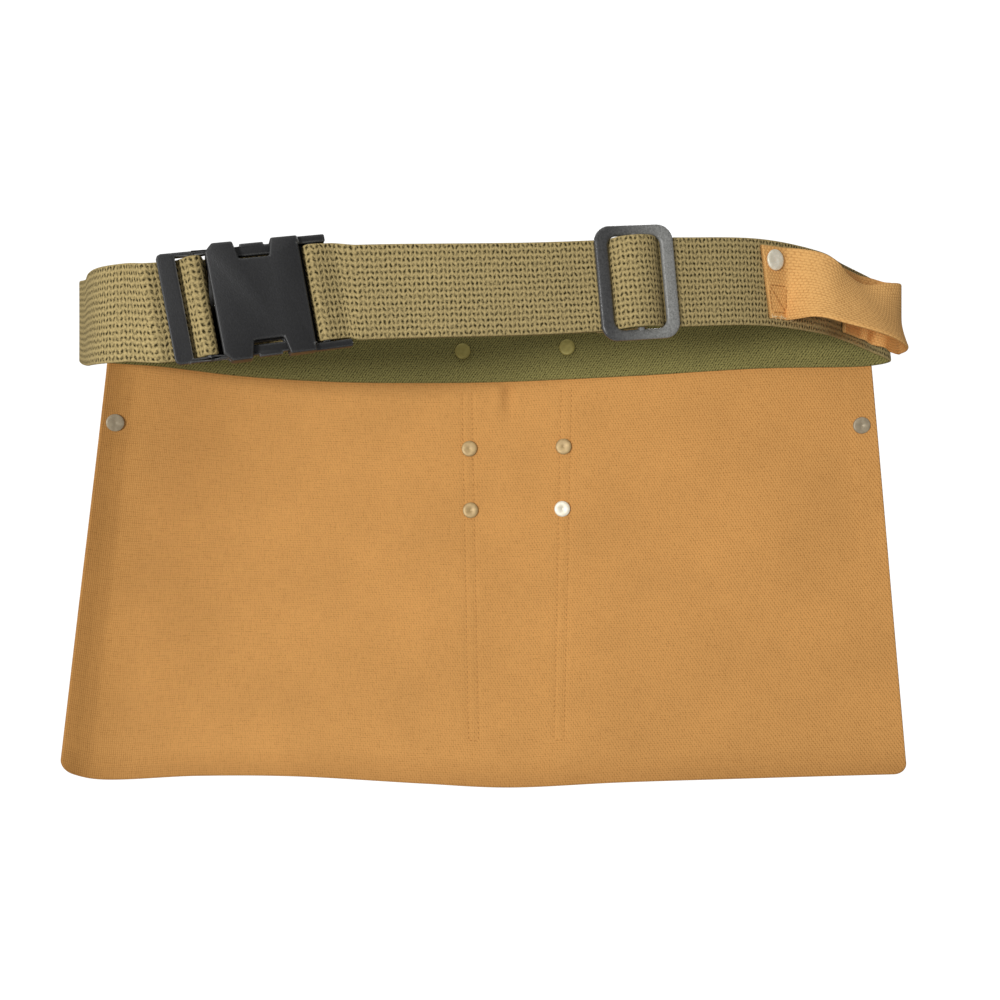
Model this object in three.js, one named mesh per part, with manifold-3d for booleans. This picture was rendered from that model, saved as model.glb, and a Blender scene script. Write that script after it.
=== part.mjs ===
// Nail apron with a webbing belt, in mm, +Z up.
// The origin is the centre of the waist loop at the middle of the belt's height.
// -Y is the wearer's back with the buckle, +Y is the apron, +X is the side of the tool loop.

import * as THREE from "three";
import { mergeVertices } from "three/addons/utils/BufferGeometryUtils.js";
import Module from "manifold-3d";

const wasm = await Module();
wasm.setup();

// Fit
const GAP = 0.3; // between pieces that touch

// Belt
const BELT_WIDTH = 50;
const BELT_THICK = 2.3;
const LOOP_HALF_WIDTH = 250;
const LOOP_HALF_DEPTH = 125;
const BELT_STEP = 13; // between two cross sections
const STRAND_RUN = 20; // straight stretch of webbing beside the slider and the buckle

// Plan of the belt, once round from the buckle: shares of the half width, the half depth and the belt width
const BELT_PLAN = [
  { x: -0.8, y: -1.03, z: -0.46 },
  { x: -0.604, y: -1.07, z: -0.4 },
  { x: -0.36, y: -0.94, z: -0.2 },
  { x: 0.088, y: -0.792, z: -0.06 },
  { x: 0.432, y: -0.64, z: 0.1 },
  { x: 0.604, y: -0.528, z: 0.16 },
  { x: 0.776, y: -0.29, z: 0.18 },
  { x: 0.9, y: 0.07, z: 0.25 },
  { x: 1.01, y: 0.28, z: 0.2 },
  { x: 1.084, y: 0.39, z: 0.12 },
  { x: 1.096, y: 0.45, z: 0.09 },
  { x: 1.06, y: 0.496, z: 0.06 },
  { x: 0.748, y: 0.55, z: 0.04 },
  { x: 0.412, y: 0.745, z: 0 },
  { x: 0, y: 0.888, z: -0.05 },
  { x: -0.244, y: 0.904, z: -0.06 },
  { x: -0.5, y: 0.856, z: -0.06 },
  { x: -0.76, y: 0.688, z: -0.03 },
  { x: -0.96, y: 0.416, z: 0.02 },
  { x: -1.08, y: 0.27, z: 0.02 },
  { x: -1.095, y: 0.11, z: 0 },
  { x: -1.06, y: -0.12, z: -0.1 },
  { x: -0.97, y: -0.47, z: -0.28 },
];

// Cloth
const CANVAS = 1.3;
const PANEL_HEIGHT = 311; // from the belt's lower edge to the hem
const PANEL_TOP = 23; // above the middle of the belt
const PANEL_LEFT_X = -1.076 * LOOP_HALF_WIDTH;
const PANEL_RIGHT_X = 1.056 * LOOP_HALF_WIDTH;
const PANEL_CELLS = { across: 34, down: 14 };
const SIDE_CROWDING = 0.6; // how much closer the sections are near the sides, where the cloth bends

// Hem of the back panel, from left to right: shares of the half width, the half depth and the panel height
const HEM = [
  { x: -1.26, y: 0.5, z: -1.0 },
  { x: -1.18, y: 0.584, z: -1.03 },
  { x: -0.908, y: 0.768, z: -1.045 },
  { x: -0.64, y: 0.84, z: -1.055 },
  { x: -0.244, y: 0.9, z: -1.08 },
  { x: 0.02, y: 0.904, z: -1.09 },
  { x: 0.368, y: 0.9, z: -1.077 },
  { x: 0.794, y: 0.856, z: -1.062 },
  { x: 1.212, y: 0.72, z: -1.035 },
];

// Pockets
const FLANGE = 15; // flat strip along a sewn edge
const MOUTH_Z = { seam: -71, edge: -55 };
const SMALL_MOUTH_Z = { seam: -118, edge: -104 };
const CENTRE_MOUTH_Z = -46;
// Inner edges of the pouches at the belt
const SEAM_X = { left: -0.082 * LOOP_HALF_WIDTH, right: 0.182 * LOOP_HALF_WIDTH };
const SEAM_TAPER = 7; // how far each moves inwards down to the hem
const EDGE_INSET = 1.5; // of the pouches from the sides of the panel
const POUCH_DEPTH = 44;
const SMALL_DEPTH = 24;
const CENTRE_DEPTH = 15;
const CENTRE_FLANGE = 7;
const MOUTH_SAG = 7;
const FOOT_INSET = 2; // of the pockets above the hem
const SIDE_ROOM = 1.2; // between the centre pocket and the pouches beside it

// Rivets
const RIVET = { cap: 6.1, back: 4.8, shank: 2, hole: 2.35, dome: 1.7, clear: 0.6 };
const RIVET_Z = { upper: -78.5, lower: -126, edge: -64 };
const SEAM_TO_RIVET = 5; // from the pouch's inner edge to the rivets' centres
const SEAM_TO_BELT_RIVET = { left: -8, right: 6 }; // along x
const EDGE_TO_RIVET = 9; // from the panel's side

// Side-release buckle, about its middle: along the strap, and out from the wearer
const BUCKLE_X = -0.496 * LOOP_HALF_WIDTH;
const BAR = 2.2; // half thickness of the bars that carry webbing
const OPENING_HALF = BELT_WIDTH / 2 + 0.7; // half of the buckle's opening for the webbing
const FEMALE_HALF = OPENING_HALF + 4;
const FEMALE = {
  left: -22,
  right: 24.5,
  half: FEMALE_HALF,
  thick: 12,
  corner: 4,
  ear: { low: 44, high: 39 },
  earInner: OPENING_HALF,
  earThick: 6.4,
};
const FEMALE_BAR = 31;
const NOTCH = { left: -8, right: 11, deep: 9, slant: 2 };
const SOCKET = { right: 15, half: FEMALE_HALF - 1.7, thick: 5 };
const MALE = {
  left: -45.5,
  barRight: -36.6,
  half: OPENING_HALF + 1.9,
  thick: 4.3,
  corner: 2.5,
  rail: 2.2,
  base: { left: -21, right: -16.5 },
  arm: 5,
  armEnd: 13.5,
  padOut: FEMALE_HALF - 0.8,
  pad: { left: -4.5, right: 7.5 },
  tongue: 3.5,
  tongueEnd: 10,
};
const MALE_BAR = -28;
const TAIL_END = 15;

// Slider
const SLIDER_X = 0.3 * LOOP_HALF_WIDTH;
const SLIDER = {
  wide: 46,
  high: BELT_WIDTH + 13,
  thick: 3.5,
  openWide: 31,
  openHigh: BELT_WIDTH + 4,
  corner: 7,
};
const SLIDER_BAR = 2;

// Tool loop
const LOOP_STRIP = 42;
const LOOP_THICK = 2;
const LOOP_SEWN_X = { from: 0.6 * LOOP_HALF_WIDTH, to: 0.668 * LOOP_HALF_WIDTH };
const LOOP_RETURN_X = { from: 0.96 * LOOP_HALF_WIDTH, to: 0.888 * LOOP_HALF_WIDTH };
const LOOP_RIVET = { x: 0.628 * LOOP_HALF_WIDTH, up: 12.4 };
const LOOP_LEAN = { degrees: 38, span: 0.5 }; // of its upper edge inwards, over this share of its free part
const LOOP_STEPS = 30;
const RETURN_ROOM = 0.5; // more room behind its returned end, where the belt bends

// Free part of the tool loop: shares of the half width, the half depth and the belt width
const LOOP_FREE = [
  { x: 0.736, y: -0.568, z: 0.08 },
  { x: 0.792, y: -0.58, z: -0.06 },
  { x: 0.848, y: -0.564, z: -0.15 },
  { x: 0.9, y: -0.512, z: -0.19 },
  { x: 0.944, y: -0.424, z: -0.19 },
  { x: 0.976, y: -0.288, z: -0.16 },
  { x: 1.004, y: -0.112, z: -0.08 },
  { x: 1.028, y: 0.064, z: 0.02 },
  { x: 1.036, y: 0.14, z: 0.1 },
  { x: 1.026, y: 0.2, z: 0.16 },
  { x: 1.004, y: 0.19, z: 0.2 },
];

// Materials
const LOOK = {
  canvas: { color: 0xc58f52, roughness: 0.95, metalness: 0 },
  loopCanvas: { color: 0xd4a565, roughness: 0.95, metalness: 0 },
  webbing: { color: 0x8c7d56, roughness: 0.95, metalness: 0 },
  plastic: { color: 0x2e2e2e, roughness: 0.45, metalness: 0 },
  glossPlastic: { color: 0x4c4b4a, roughness: 0.3, metalness: 0 },
  rivetMetal: { color: 0xbfa675, roughness: 0.35, metalness: 1 },
};

const at = (x, y, z) => new THREE.Vector3(x, y, z);
const mix = (a, b, t) => a + (b - a) * t;
const clamp01 = (t) => Math.min(1, Math.max(0, t));
const steps = (count) => Array.from({ length: count + 1 }, (_, i) => i / count);

// Solids

function geometryOf(positions, triangles) {
  const geometry = new THREE.BufferGeometry();
  geometry.setAttribute("position", new THREE.Float32BufferAttribute(positions, 3));
  geometry.setIndex(triangles);
  return geometry;
}

// A copy with shared corners, without normals and texture places.
function merged(geometry) {
  const bare = geometry.clone();
  bare.deleteAttribute("normal");
  bare.deleteAttribute("uv");
  return mergeVertices(bare, 1e-4);
}

function toManifold(geometry) {
  const closed = merged(geometry);
  return new wasm.Manifold(
    new wasm.Mesh({
      numProp: 3,
      vertProperties: closed.attributes.position.array,
      triVerts: new Uint32Array(closed.index.array),
    }),
  );
}

function fromManifold(solid) {
  const mesh = solid.getMesh();
  return geometryOf(Array.from(mesh.vertProperties), Array.from(mesh.triVerts));
}

const cut = (geometry, tools) =>
  fromManifold(tools.reduce((left, tool) => left.subtract(toManifold(tool)), toManifold(geometry)));

const join = (geometries) =>
  fromManifold(geometries.slice(1).reduce((sum, g) => sum.add(toManifold(g)), toManifold(geometries[0])));

// A frame has an origin o and unit directions: a along, n out from the wearer, w up across the strap.
const inFrame = (frame, along, out, up) =>
  frame.o.clone().addScaledVector(frame.a, along).addScaledVector(frame.n, out).addScaledVector(frame.w, up);

// Moves a solid made with x along, y up and z out into a frame.
function placed(frame, geometry) {
  return geometry.applyMatrix4(new THREE.Matrix4().makeBasis(frame.a, frame.w, frame.n).setPosition(frame.o));
}

// A flat shape in along and up, made solid between two distances out.
function plate(frame, shape, outFrom, outTo) {
  const geometry = new THREE.ExtrudeGeometry(shape, { depth: outTo - outFrom, bevelEnabled: false });
  geometry.translate(0, 0, outFrom);
  return placed(frame, geometry);
}

function shapeOf(points) {
  return new THREE.Shape(points.map(([x, y]) => new THREE.Vector2(x, y)));
}

const rectangle = (x0, y0, x1, y1) =>
  shapeOf([
    [x0, y0],
    [x1, y0],
    [x1, y1],
    [x0, y1],
  ]);

// A rectangle with its corners cut at 45 degrees in two steps.
function roundedRectangle(x0, y0, x1, y1, r) {
  const k = r * 0.3;
  return shapeOf([
    [x0 + r, y0],
    [x1 - r, y0],
    [x1 - k, y0 + k],
    [x1, y0 + r],
    [x1, y1 - r],
    [x1 - k, y1 - k],
    [x1 - r, y1],
    [x0 + r, y1],
    [x0 + k, y1 - k],
    [x0, y1 - r],
    [x0, y0 + r],
    [x0 + k, y0 + k],
  ]);
}

// A round bar across the strap, at a place along and out.
function crossBar(frame, along, out, radius, half) {
  const geometry = new THREE.CylinderGeometry(radius, radius, 2 * half, 12);
  geometry.translate(along, 0, out);
  return placed(frame, geometry);
}

// Belt path

const planCurve = new THREE.CatmullRomCurve3(
  BELT_PLAN.map((row) => at(row.x * LOOP_HALF_WIDTH, row.y * LOOP_HALF_DEPTH, row.z * BELT_WIDTH)),
  true,
  "centripetal",
);
planCurve.arcLengthDivisions = 1500;
const LOOP_LENGTH = planCurve.getLength();

function frameOnLoop(u) {
  const share = ((u % 1) + 1) % 1;
  const a = planCurve.getTangentAt(share);
  const n = at(a.y, -a.x, 0).normalize();
  const w = new THREE.Vector3().crossVectors(n, a).normalize();
  return { o: planCurve.getPointAt(share), a, n, w };
}

// The share of the way round at which the near or far side of the loop has a given x.
function loopAtX(x, side) {
  const count = 600;
  for (let i = 0; i < count; i += 1) {
    let low = i / count;
    let high = (i + 1) / count;
    const from = planCurve.getPointAt(low).x;
    const to = planCurve.getPointAt(high).x;
    const onSide = side === "far" ? to < from : to > from;
    if (!onSide || (from - x) * (to - x) > 0) continue;
    for (let k = 0; k < 20; k += 1) {
      const middle = (low + high) / 2;
      if ((planCurve.getPointAt(middle).x - x) * (from - x) > 0) low = middle;
      else high = middle;
    }
    return (low + high) / 2;
  }
  throw new Error(`the ${side} side of the loop never has x ${x}`);
}

const outOf = (frame, out) => ({ ...frame, o: inFrame(frame, 0, out, 0) });

// Ribbons

// Stations hold a point p and the unit direction w across the ribbon.
function ribbon(stations, width, thick) {
  const positions = [];
  const triangles = [];
  const last = stations.length - 1;
  stations.forEach(({ p, w }, i) => {
    const before = i ? p.clone().sub(stations[i - 1].p).normalize() : null;
    const after = i < last ? stations[i + 1].p.clone().sub(p).normalize() : null;
    const along = (before || after).clone().add(after || before).normalize();
    const n = new THREE.Vector3().crossVectors(along, w).normalize();
    const miter = Math.max(0.6, along.dot(after || before));
    const half = thick / 2 / miter;
    const corners = [
      [-1, -1],
      [1, -1],
      [1, 1],
      [-1, 1],
    ];
    for (const [side, face] of corners) {
      const v = p.clone().addScaledVector(w, (side * width) / 2).addScaledVector(n, face * half);
      positions.push(v.x, v.y, v.z);
    }
    if (!i) return;
    for (let k = 0; k < 4; k += 1) {
      const a = 4 * (i - 1) + k;
      const b = 4 * (i - 1) + ((k + 1) % 4);
      triangles.push(a, a + 4, b, b, a + 4, b + 4);
    }
  });
  const e = 4 * last;
  triangles.push(0, 1, 2, 0, 2, 3, e, e + 2, e + 1, e, e + 3, e + 2);
  return outwards(geometryOf(positions, triangles));
}

// Turns all faces of a closed mesh round when its volume comes out negative.
function outwards(geometry) {
  const p = geometry.attributes.position;
  const index = Array.from(geometry.index.array);
  const corner = (i) => at(p.getX(i), p.getY(i), p.getZ(i));
  let volume = 0;
  for (let i = 0; i < index.length; i += 3) {
    volume += corner(index[i]).dot(corner(index[i + 1]).cross(corner(index[i + 2])));
  }
  if (volume < 0) index.reverse();
  geometry.setIndex(index);
  return geometry;
}

const station = (frame, along, out) => ({ p: inFrame(frame, along, out, 0), w: frame.w });

// Stations on a circle about a bar, from one angle to another, in degrees from the along direction.
function wrap(frame, along, out, radius, fromDeg, toDeg) {
  const steps = Math.ceil(Math.abs(toDeg - fromDeg) / 30);
  return Array.from({ length: steps + 1 }, (_, i) => {
    const angle = THREE.MathUtils.degToRad(mix(fromDeg, toDeg, i / steps));
    return station(frame, along + radius * Math.cos(angle), out + radius * Math.sin(angle));
  });
}

// Stations along the loop between two places on it.
function along(fromU, toU, out, places) {
  const length = Math.abs(toU - fromU) * LOOP_LENGTH;
  return (places || steps(Math.max(1, Math.round(length / BELT_STEP)))).map((t) =>
    station(frameOnLoop(mix(fromU, toU, t)), 0, out),
  );
}

const crowded = (t) => t - (SIDE_CROWDING * Math.sin(2 * Math.PI * t)) / (2 * Math.PI);
const panelColumns = steps(PANEL_CELLS.across).map(crowded);

const HALF_BELT = BELT_THICK / 2;
const LAYER = BELT_THICK + GAP + 0.15; // from one layer of webbing to the next
const buckleU = loopAtX(BUCKLE_X, "near");
const sliderU = loopAtX(SLIDER_X, "near");
const panelLeftU = loopAtX(PANEL_LEFT_X, "far");
const panelRightU = loopAtX(PANEL_RIGHT_X, "far");
const buckleFrame = frameOnLoop(buckleU);
const UNDER_SLIDER = SLIDER.thick / 2 + GAP + HALF_BELT;
const sliderFrame = outOf(frameOnLoop(sliderU), UNDER_SLIDER);
const share = (mm) => mm / LOOP_LENGTH;
const PANEL_WIDTH = (panelLeftU - panelRightU) * LOOP_LENGTH;
const BELT_TO_PANEL = HALF_BELT + GAP + 0.05; // from the middle of the webbing to the panel's inner face

function beltStations() {
  const bar = BAR + GAP + HALF_BELT;
  const inner = SLIDER_BAR + GAP + HALF_BELT;
  const outer = inner + LAYER;
  const under = -UNDER_SLIDER;
  const edge = SLIDER.openWide / 2;
  const innerEnd = [
    station(sliderFrame, -edge - 7, under - 2 * LAYER - 0.6),
    station(sliderFrame, -edge + 3, under - 2 * LAYER - 0.4),
    ...wrap(sliderFrame, 0, 0, inner, -115, 165),
    station(sliderFrame, -edge + 4, under - LAYER + 0.4),
    station(sliderFrame, -edge, under - LAYER),
    station(sliderFrame, -edge - 9, under - LAYER),
  ];
  const strandFrom = buckleU + share(FEMALE_BAR + STRAND_RUN);
  const strandTo = sliderU - share(edge + STRAND_RUN);
  const innerStrand = along(strandTo, strandFrom, -LAYER);
  const femaleWrap = [
    station(buckleFrame, FEMALE_BAR + 12, -LAYER - 0.1),
    ...wrap(buckleFrame, FEMALE_BAR, 0, bar, 285, 75),
    station(buckleFrame, FEMALE_BAR + 12, 0.9),
  ];
  const outerStrand = along(strandFrom, strandTo, 0);
  const overSlider = [
    station(sliderFrame, -edge - 9, under),
    station(sliderFrame, -edge, under),
    station(sliderFrame, -edge + 2.2, under + 0.7),
    ...wrap(sliderFrame, 0, 0, outer, 127, 53),
    station(sliderFrame, edge - 2.2, under + 0.7),
    station(sliderFrame, edge, under),
    station(sliderFrame, edge + 9, under),
  ];
  // The belt has the same cross sections as the panel that lies on it.
  const roundTheLoop = [
    ...along(sliderU + share(edge + STRAND_RUN), panelRightU, 0).slice(0, -1),
    ...along(panelRightU, panelLeftU, 0, panelColumns),
    ...along(panelLeftU, buckleU + 1 - share(STRAND_RUN - MALE.left), 0).slice(1),
  ];
  const tailOut = -FEMALE.thick / 2 - GAP - HALF_BELT;
  const maleWrap = [
    station(buckleFrame, MALE.left - 7, -2.2),
    station(buckleFrame, MALE.left, -bar),
    station(buckleFrame, MALE.barRight + 0.8, -bar),
    ...wrap(buckleFrame, MALE_BAR, 0, bar, 165, 0),
    station(buckleFrame, MALE_BAR + bar, -4.4),
    station(buckleFrame, MALE_BAR + bar + 0.9, -7.2),
    station(buckleFrame, MALE_BAR + bar + 4, tailOut - 0.6),
    station(buckleFrame, -6, tailOut - 0.3),
    station(buckleFrame, TAIL_END, tailOut - 0.9),
  ];
  return [
    ...innerEnd,
    ...innerStrand,
    ...femaleWrap,
    ...outerStrand,
    ...overSlider,
    ...roundTheLoop,
    ...maleWrap,
  ];
}

// Cloth sheets

const hemCurve = new THREE.CatmullRomCurve3(
  HEM.map((row) => at(row.x * LOOP_HALF_WIDTH, row.y * LOOP_HALF_DEPTH, row.z * PANEL_HEIGHT)),
  false,
  "centripetal",
);
const BELT_BAND = (PANEL_TOP + BELT_WIDTH / 2) / (PANEL_TOP + BELT_WIDTH / 2 + PANEL_HEIGHT);

// A point on the panel's inner face: u from its left side to its right side, v from its top down to the hem.
function panelPoint(u, v) {
  const frame = frameOnLoop(mix(panelLeftU, panelRightU, u));
  const fallen = Math.min(1, v / BELT_BAND) * (PANEL_TOP + BELT_WIDTH / 2);
  const behindBelt = inFrame(frame, 0, BELT_TO_PANEL, PANEL_TOP - fallen);
  const down = Math.max(0, v - BELT_BAND) / (1 - BELT_BAND);
  return behindBelt.lerp(hemCurve.getPointAt(clamp01(u)), down);
}

// The unit direction out of a surface given as a function of u and v.
function outwardsOf(surface, u, v) {
  const d = 0.004;
  const across = surface(Math.min(1, u + d), v).sub(surface(Math.max(0, u - d), v));
  const down = surface(u, Math.min(1, v + d)).sub(surface(u, Math.max(0, v - d)));
  return new THREE.Vector3().crossVectors(across, down).normalize();
}

const raised = (surface, u, v, height) =>
  surface(u, v).addScaledVector(outwardsOf(surface, u, v), height);

// The u on the panel where it has a given x at a given v.
function panelU(x, v) {
  let low = 0;
  let high = 1;
  for (let i = 0; i < 40; i += 1) {
    const middle = (low + high) / 2;
    if (panelPoint(middle, v).x < x) low = middle;
    else high = middle;
  }
  return (low + high) / 2;
}

// The v on the panel's column u at a given height.
function panelV(u, z) {
  let low = 0;
  let high = 1;
  for (let i = 0; i < 40; i += 1) {
    const middle = (low + high) / 2;
    if (panelPoint(u, middle).z > z) low = middle;
    else high = middle;
  }
  return (low + high) / 2;
}

// A closed sheet of even thickness whose inner face is a grid of points, rows of columns.
function sheet(grid, thick) {
  const rows = grid.length;
  const columns = grid[0].length;
  const positions = [];
  const triangles = [];
  const pick = (r, c) => grid[Math.min(rows - 1, Math.max(0, r))][Math.min(columns - 1, Math.max(0, c))];
  for (const face of [0, 1]) {
    for (let r = 0; r < rows; r += 1) {
      for (let c = 0; c < columns; c += 1) {
        const across = pick(r, c + 1).clone().sub(pick(r, c - 1));
        const down = pick(r + 1, c).clone().sub(pick(r - 1, c));
        const n = new THREE.Vector3().crossVectors(across, down).normalize();
        const p = grid[r][c].clone().addScaledVector(n, face * thick);
        positions.push(p.x, p.y, p.z);
      }
    }
  }
  const id = (face, r, c) => face * rows * columns + r * columns + c;
  const quad = (a, b, c, d) => triangles.push(a, b, c, a, c, d);
  for (let r = 0; r < rows - 1; r += 1) {
    for (let c = 0; c < columns - 1; c += 1) {
      quad(id(0, r, c), id(0, r, c + 1), id(0, r + 1, c + 1), id(0, r + 1, c));
      quad(id(1, r, c), id(1, r + 1, c), id(1, r + 1, c + 1), id(1, r, c + 1));
    }
  }
  for (let c = 0; c < columns - 1; c += 1) {
    quad(id(0, 0, c), id(1, 0, c), id(1, 0, c + 1), id(0, 0, c + 1));
    quad(id(0, rows - 1, c), id(0, rows - 1, c + 1), id(1, rows - 1, c + 1), id(1, rows - 1, c));
  }
  for (let r = 0; r < rows - 1; r += 1) {
    quad(id(0, r, 0), id(0, r + 1, 0), id(1, r + 1, 0), id(1, r, 0));
    quad(id(0, r, columns - 1), id(1, r, columns - 1), id(1, r + 1, columns - 1), id(0, r + 1, columns - 1));
  }
  return outwards(geometryOf(positions, triangles));
}

// Steps from 0 to 1 that also stop at the edges of the flanges.
function stepsWithFlange(count, from, to) {
  const middle = steps(count).map((t) => mix(from, 1 - to, t));
  return [...(from > 0 ? [0, from / 2] : []), ...middle, ...(to > 0 ? [1 - to / 2, 1] : [])];
}

// How far a pocket stands out across its width: 0 on the flanges, 1 in the middle of each lobe.
function acrossLobes(a, flange, lobes) {
  const inside = clamp01((a - flange) / (1 - 2 * flange));
  const lobe = (inside * lobes) % 1;
  const edge = Math.abs(2 * lobe - 1);
  return inside <= 0 || inside >= 1 ? 0 : 1 - edge ** 2.6;
}

// How far it stands out down its height: open at the mouth, full below it, flat on the bottom flange.
function downFall(b, flange) {
  const inside = clamp01(b / (1 - flange));
  return (0.86 + 0.14 * Math.sin(Math.PI * Math.min(1, inside * 1.5))) * (1 - inside ** 4);
}

// A pocket on a surface: corners in u at its top and bottom, v of its mouth and foot.
function pocket(base, spec) {
  const flange = spec.flange / spec.width;
  const floor = spec.flange / spec.height / 1.6;
  const surface = (a, b) => {
    const mouth = mix(spec.mouth[0], spec.mouth[1], a) + spec.sag * Math.sin(Math.PI * a);
    const v = mix(mouth, spec.foot, b);
    const left = mix(spec.left[0], spec.left[1], b);
    const right = mix(spec.right[0], spec.right[1], b);
    const height = spec.lift + spec.depth * acrossLobes(a, flange, spec.lobes) * downFall(b, floor);
    return raised(base, mix(left, right, a), v, height);
  };
  const columns = stepsWithFlange(spec.cells.across, flange, flange);
  const rows = stepsWithFlange(spec.cells.down, 0, floor);
  return { surface, geometry: sheet(rows.map((b) => columns.map((a) => surface(a, b))), CANVAS) };
}

const ON_PANEL = CANVAS + GAP;
const vAtZ = (z) => panelV(0.5, z);
const footV = 1 - FOOT_INSET / PANEL_HEIGHT;
const seamU = (side, v) => {
  const inwards = side === "left" ? SEAM_TAPER : -SEAM_TAPER;
  return panelU(SEAM_X[side] + inwards * v, v);
};
const insetU = EDGE_INSET / PANEL_WIDTH;
const POUCH_WIDTH = (PANEL_WIDTH - SEAM_X.right + SEAM_X.left) / 2;

// Orders two values as left and right: the seam of a left pouch is on its right.
const ordered = (side, edge, seam) => (side === "left" ? [edge, seam] : [seam, edge]);

function pouch(side) {
  const edge = side === "left" ? insetU : 1 - insetU;
  const mouth = { seam: vAtZ(MOUTH_Z.seam), edge: panelV(edge, MOUTH_Z.edge) };
  const seam = [seamU(side, mouth.seam), seamU(side, footV)];
  const [left, right] = ordered(side, [edge, edge], seam);
  return pocket(panelPoint, {
    left,
    right,
    mouth: ordered(side, mouth.edge, mouth.seam),
    foot: footV,
    sag: MOUTH_SAG / PANEL_HEIGHT,
    lift: ON_PANEL,
    depth: POUCH_DEPTH,
    lobes: 1,
    flange: FLANGE,
    width: POUCH_WIDTH,
    height: PANEL_HEIGHT + MOUTH_Z.seam,
    cells: { across: 12, down: 9 },
  });
}

const pouches = { left: pouch("left"), right: pouch("right") };

// The share down a pouch, at its share a across, where it has a given height.
function pouchShareAtZ(side, a, z) {
  let low = 0;
  let high = 1;
  for (let i = 0; i < 40; i += 1) {
    const middle = (low + high) / 2;
    if (pouches[side].surface(a, middle).z > z) low = middle;
    else high = middle;
  }
  return (low + high) / 2;
}

function smallPocket(side) {
  const [edge, seam] = side === "left" ? [0.008, 0.996] : [0.992, 0.004];
  const [left, right] = ordered(side, [edge, edge], [seam, seam]);
  return pocket(pouches[side].surface, {
    left,
    right,
    mouth: ordered(
      side,
      pouchShareAtZ(side, edge, SMALL_MOUTH_Z.edge),
      pouchShareAtZ(side, seam, SMALL_MOUTH_Z.seam),
    ),
    foot: 0.985,
    sag: 0.02,
    lift: CANVAS + 2 * GAP,
    depth: SMALL_DEPTH,
    lobes: 2,
    flange: FLANGE,
    width: POUCH_WIDTH,
    height: PANEL_HEIGHT + SMALL_MOUTH_Z.seam,
    cells: { across: 16, down: 7 },
  });
}

function centrePocket() {
  const mouth = vAtZ(CENTRE_MOUTH_Z);
  const room = SIDE_ROOM / PANEL_WIDTH;
  return pocket(panelPoint, {
    left: [seamU("left", mouth) + room, seamU("left", footV) + room],
    right: [seamU("right", mouth) - room, seamU("right", footV) - room],
    mouth: [mouth, mouth],
    foot: footV,
    sag: 0,
    lift: ON_PANEL,
    depth: CENTRE_DEPTH,
    lobes: 1,
    flange: CENTRE_FLANGE,
    width: SEAM_X.right - SEAM_X.left,
    height: PANEL_HEIGHT + CENTRE_MOUTH_Z,
    cells: { across: 8, down: 8 },
  });
}

// Rivets: a cap on the inner face, a shank through the stack, and a smaller cap outside.

function rivetGeometry(frame, stack) {
  const inner = -RIVET.clear;
  const outer = stack + GAP;
  const profile = [
    [0, inner - RIVET.dome],
    [RIVET.cap * 0.62, inner - RIVET.dome * 0.82],
    [RIVET.cap * 0.93, inner - RIVET.dome * 0.4],
    [RIVET.cap, inner],
    [RIVET.shank, inner],
    [RIVET.shank, outer],
    [RIVET.back, outer],
    [RIVET.back * 0.8, outer + 1],
    [0, outer + 1],
  ];
  const geometry = new THREE.LatheGeometry(
    profile.map(([r, h]) => new THREE.Vector2(r, h)),
    12,
  );
  geometry.rotateX(Math.PI / 2);
  return outwards(merged(placed(frame, geometry)));
}

function holeGeometry(frame, stack) {
  const geometry = new THREE.CylinderGeometry(RIVET.hole, RIVET.hole, stack + 12, 10);
  geometry.rotateX(Math.PI / 2);
  geometry.translate(0, 0, stack / 2);
  return placed(frame, geometry);
}

// The frame of a rivet on a surface, with its origin on the inner face.
function rivetFrame(surface, u, v, out) {
  const n = outwardsOf(surface, u, v);
  const w = at(0, 0, 1).addScaledVector(n, -n.z).normalize();
  const a = new THREE.Vector3().crossVectors(w, n).normalize();
  return { o: surface(u, v).addScaledVector(n, out), a, n, w };
}

function panelFrame(u, z, out) {
  return rivetFrame(panelPoint, u, panelV(u, z), out);
}

const seamRivetU = (side, z) => {
  const v = vAtZ(z);
  const away = side === "left" ? -SEAM_TO_RIVET : SEAM_TO_RIVET;
  return panelU(panelPoint(seamU(side, v), v).x + away, v);
};

const rivets = {};
const behindPanel = BELT_THICK + BELT_TO_PANEL - HALF_BELT;
for (const side of ["left", "right"]) {
  const beltU = panelU(SEAM_X[side] + SEAM_TO_BELT_RIVET[side], BELT_BAND / 2);
  const edgeShare = EDGE_TO_RIVET / PANEL_WIDTH;
  rivets[`rivet_belt_${side}`] = {
    frame: rivetFrame(panelPoint, beltU, BELT_BAND / 2, -behindPanel),
    stack: behindPanel + CANVAS,
    through: ["belt", "back_panel"],
  };
  rivets[`rivet_upper_${side}`] = {
    frame: panelFrame(seamRivetU(side, RIVET_Z.upper), RIVET_Z.upper, 0),
    stack: 2 * CANVAS + GAP,
    through: ["back_panel", `pouch_${side}`],
  };
  rivets[`rivet_lower_${side}`] = {
    frame: panelFrame(seamRivetU(side, RIVET_Z.lower), RIVET_Z.lower, 0),
    stack: 3 * CANVAS + 3 * GAP,
    through: ["back_panel", `pouch_${side}`, `small_pocket_${side}`],
  };
  rivets[`rivet_edge_${side}`] = {
    frame: panelFrame(side === "left" ? edgeShare : 1 - edgeShare, RIVET_Z.edge, 0),
    stack: 2 * CANVAS + GAP,
    through: ["back_panel", `pouch_${side}`],
  };
}

// Tool loop: sewn to the belt's outer face at one end, round through the air, back onto the belt.

const loopClear = HALF_BELT + GAP + LOOP_THICK / 2;

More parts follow.
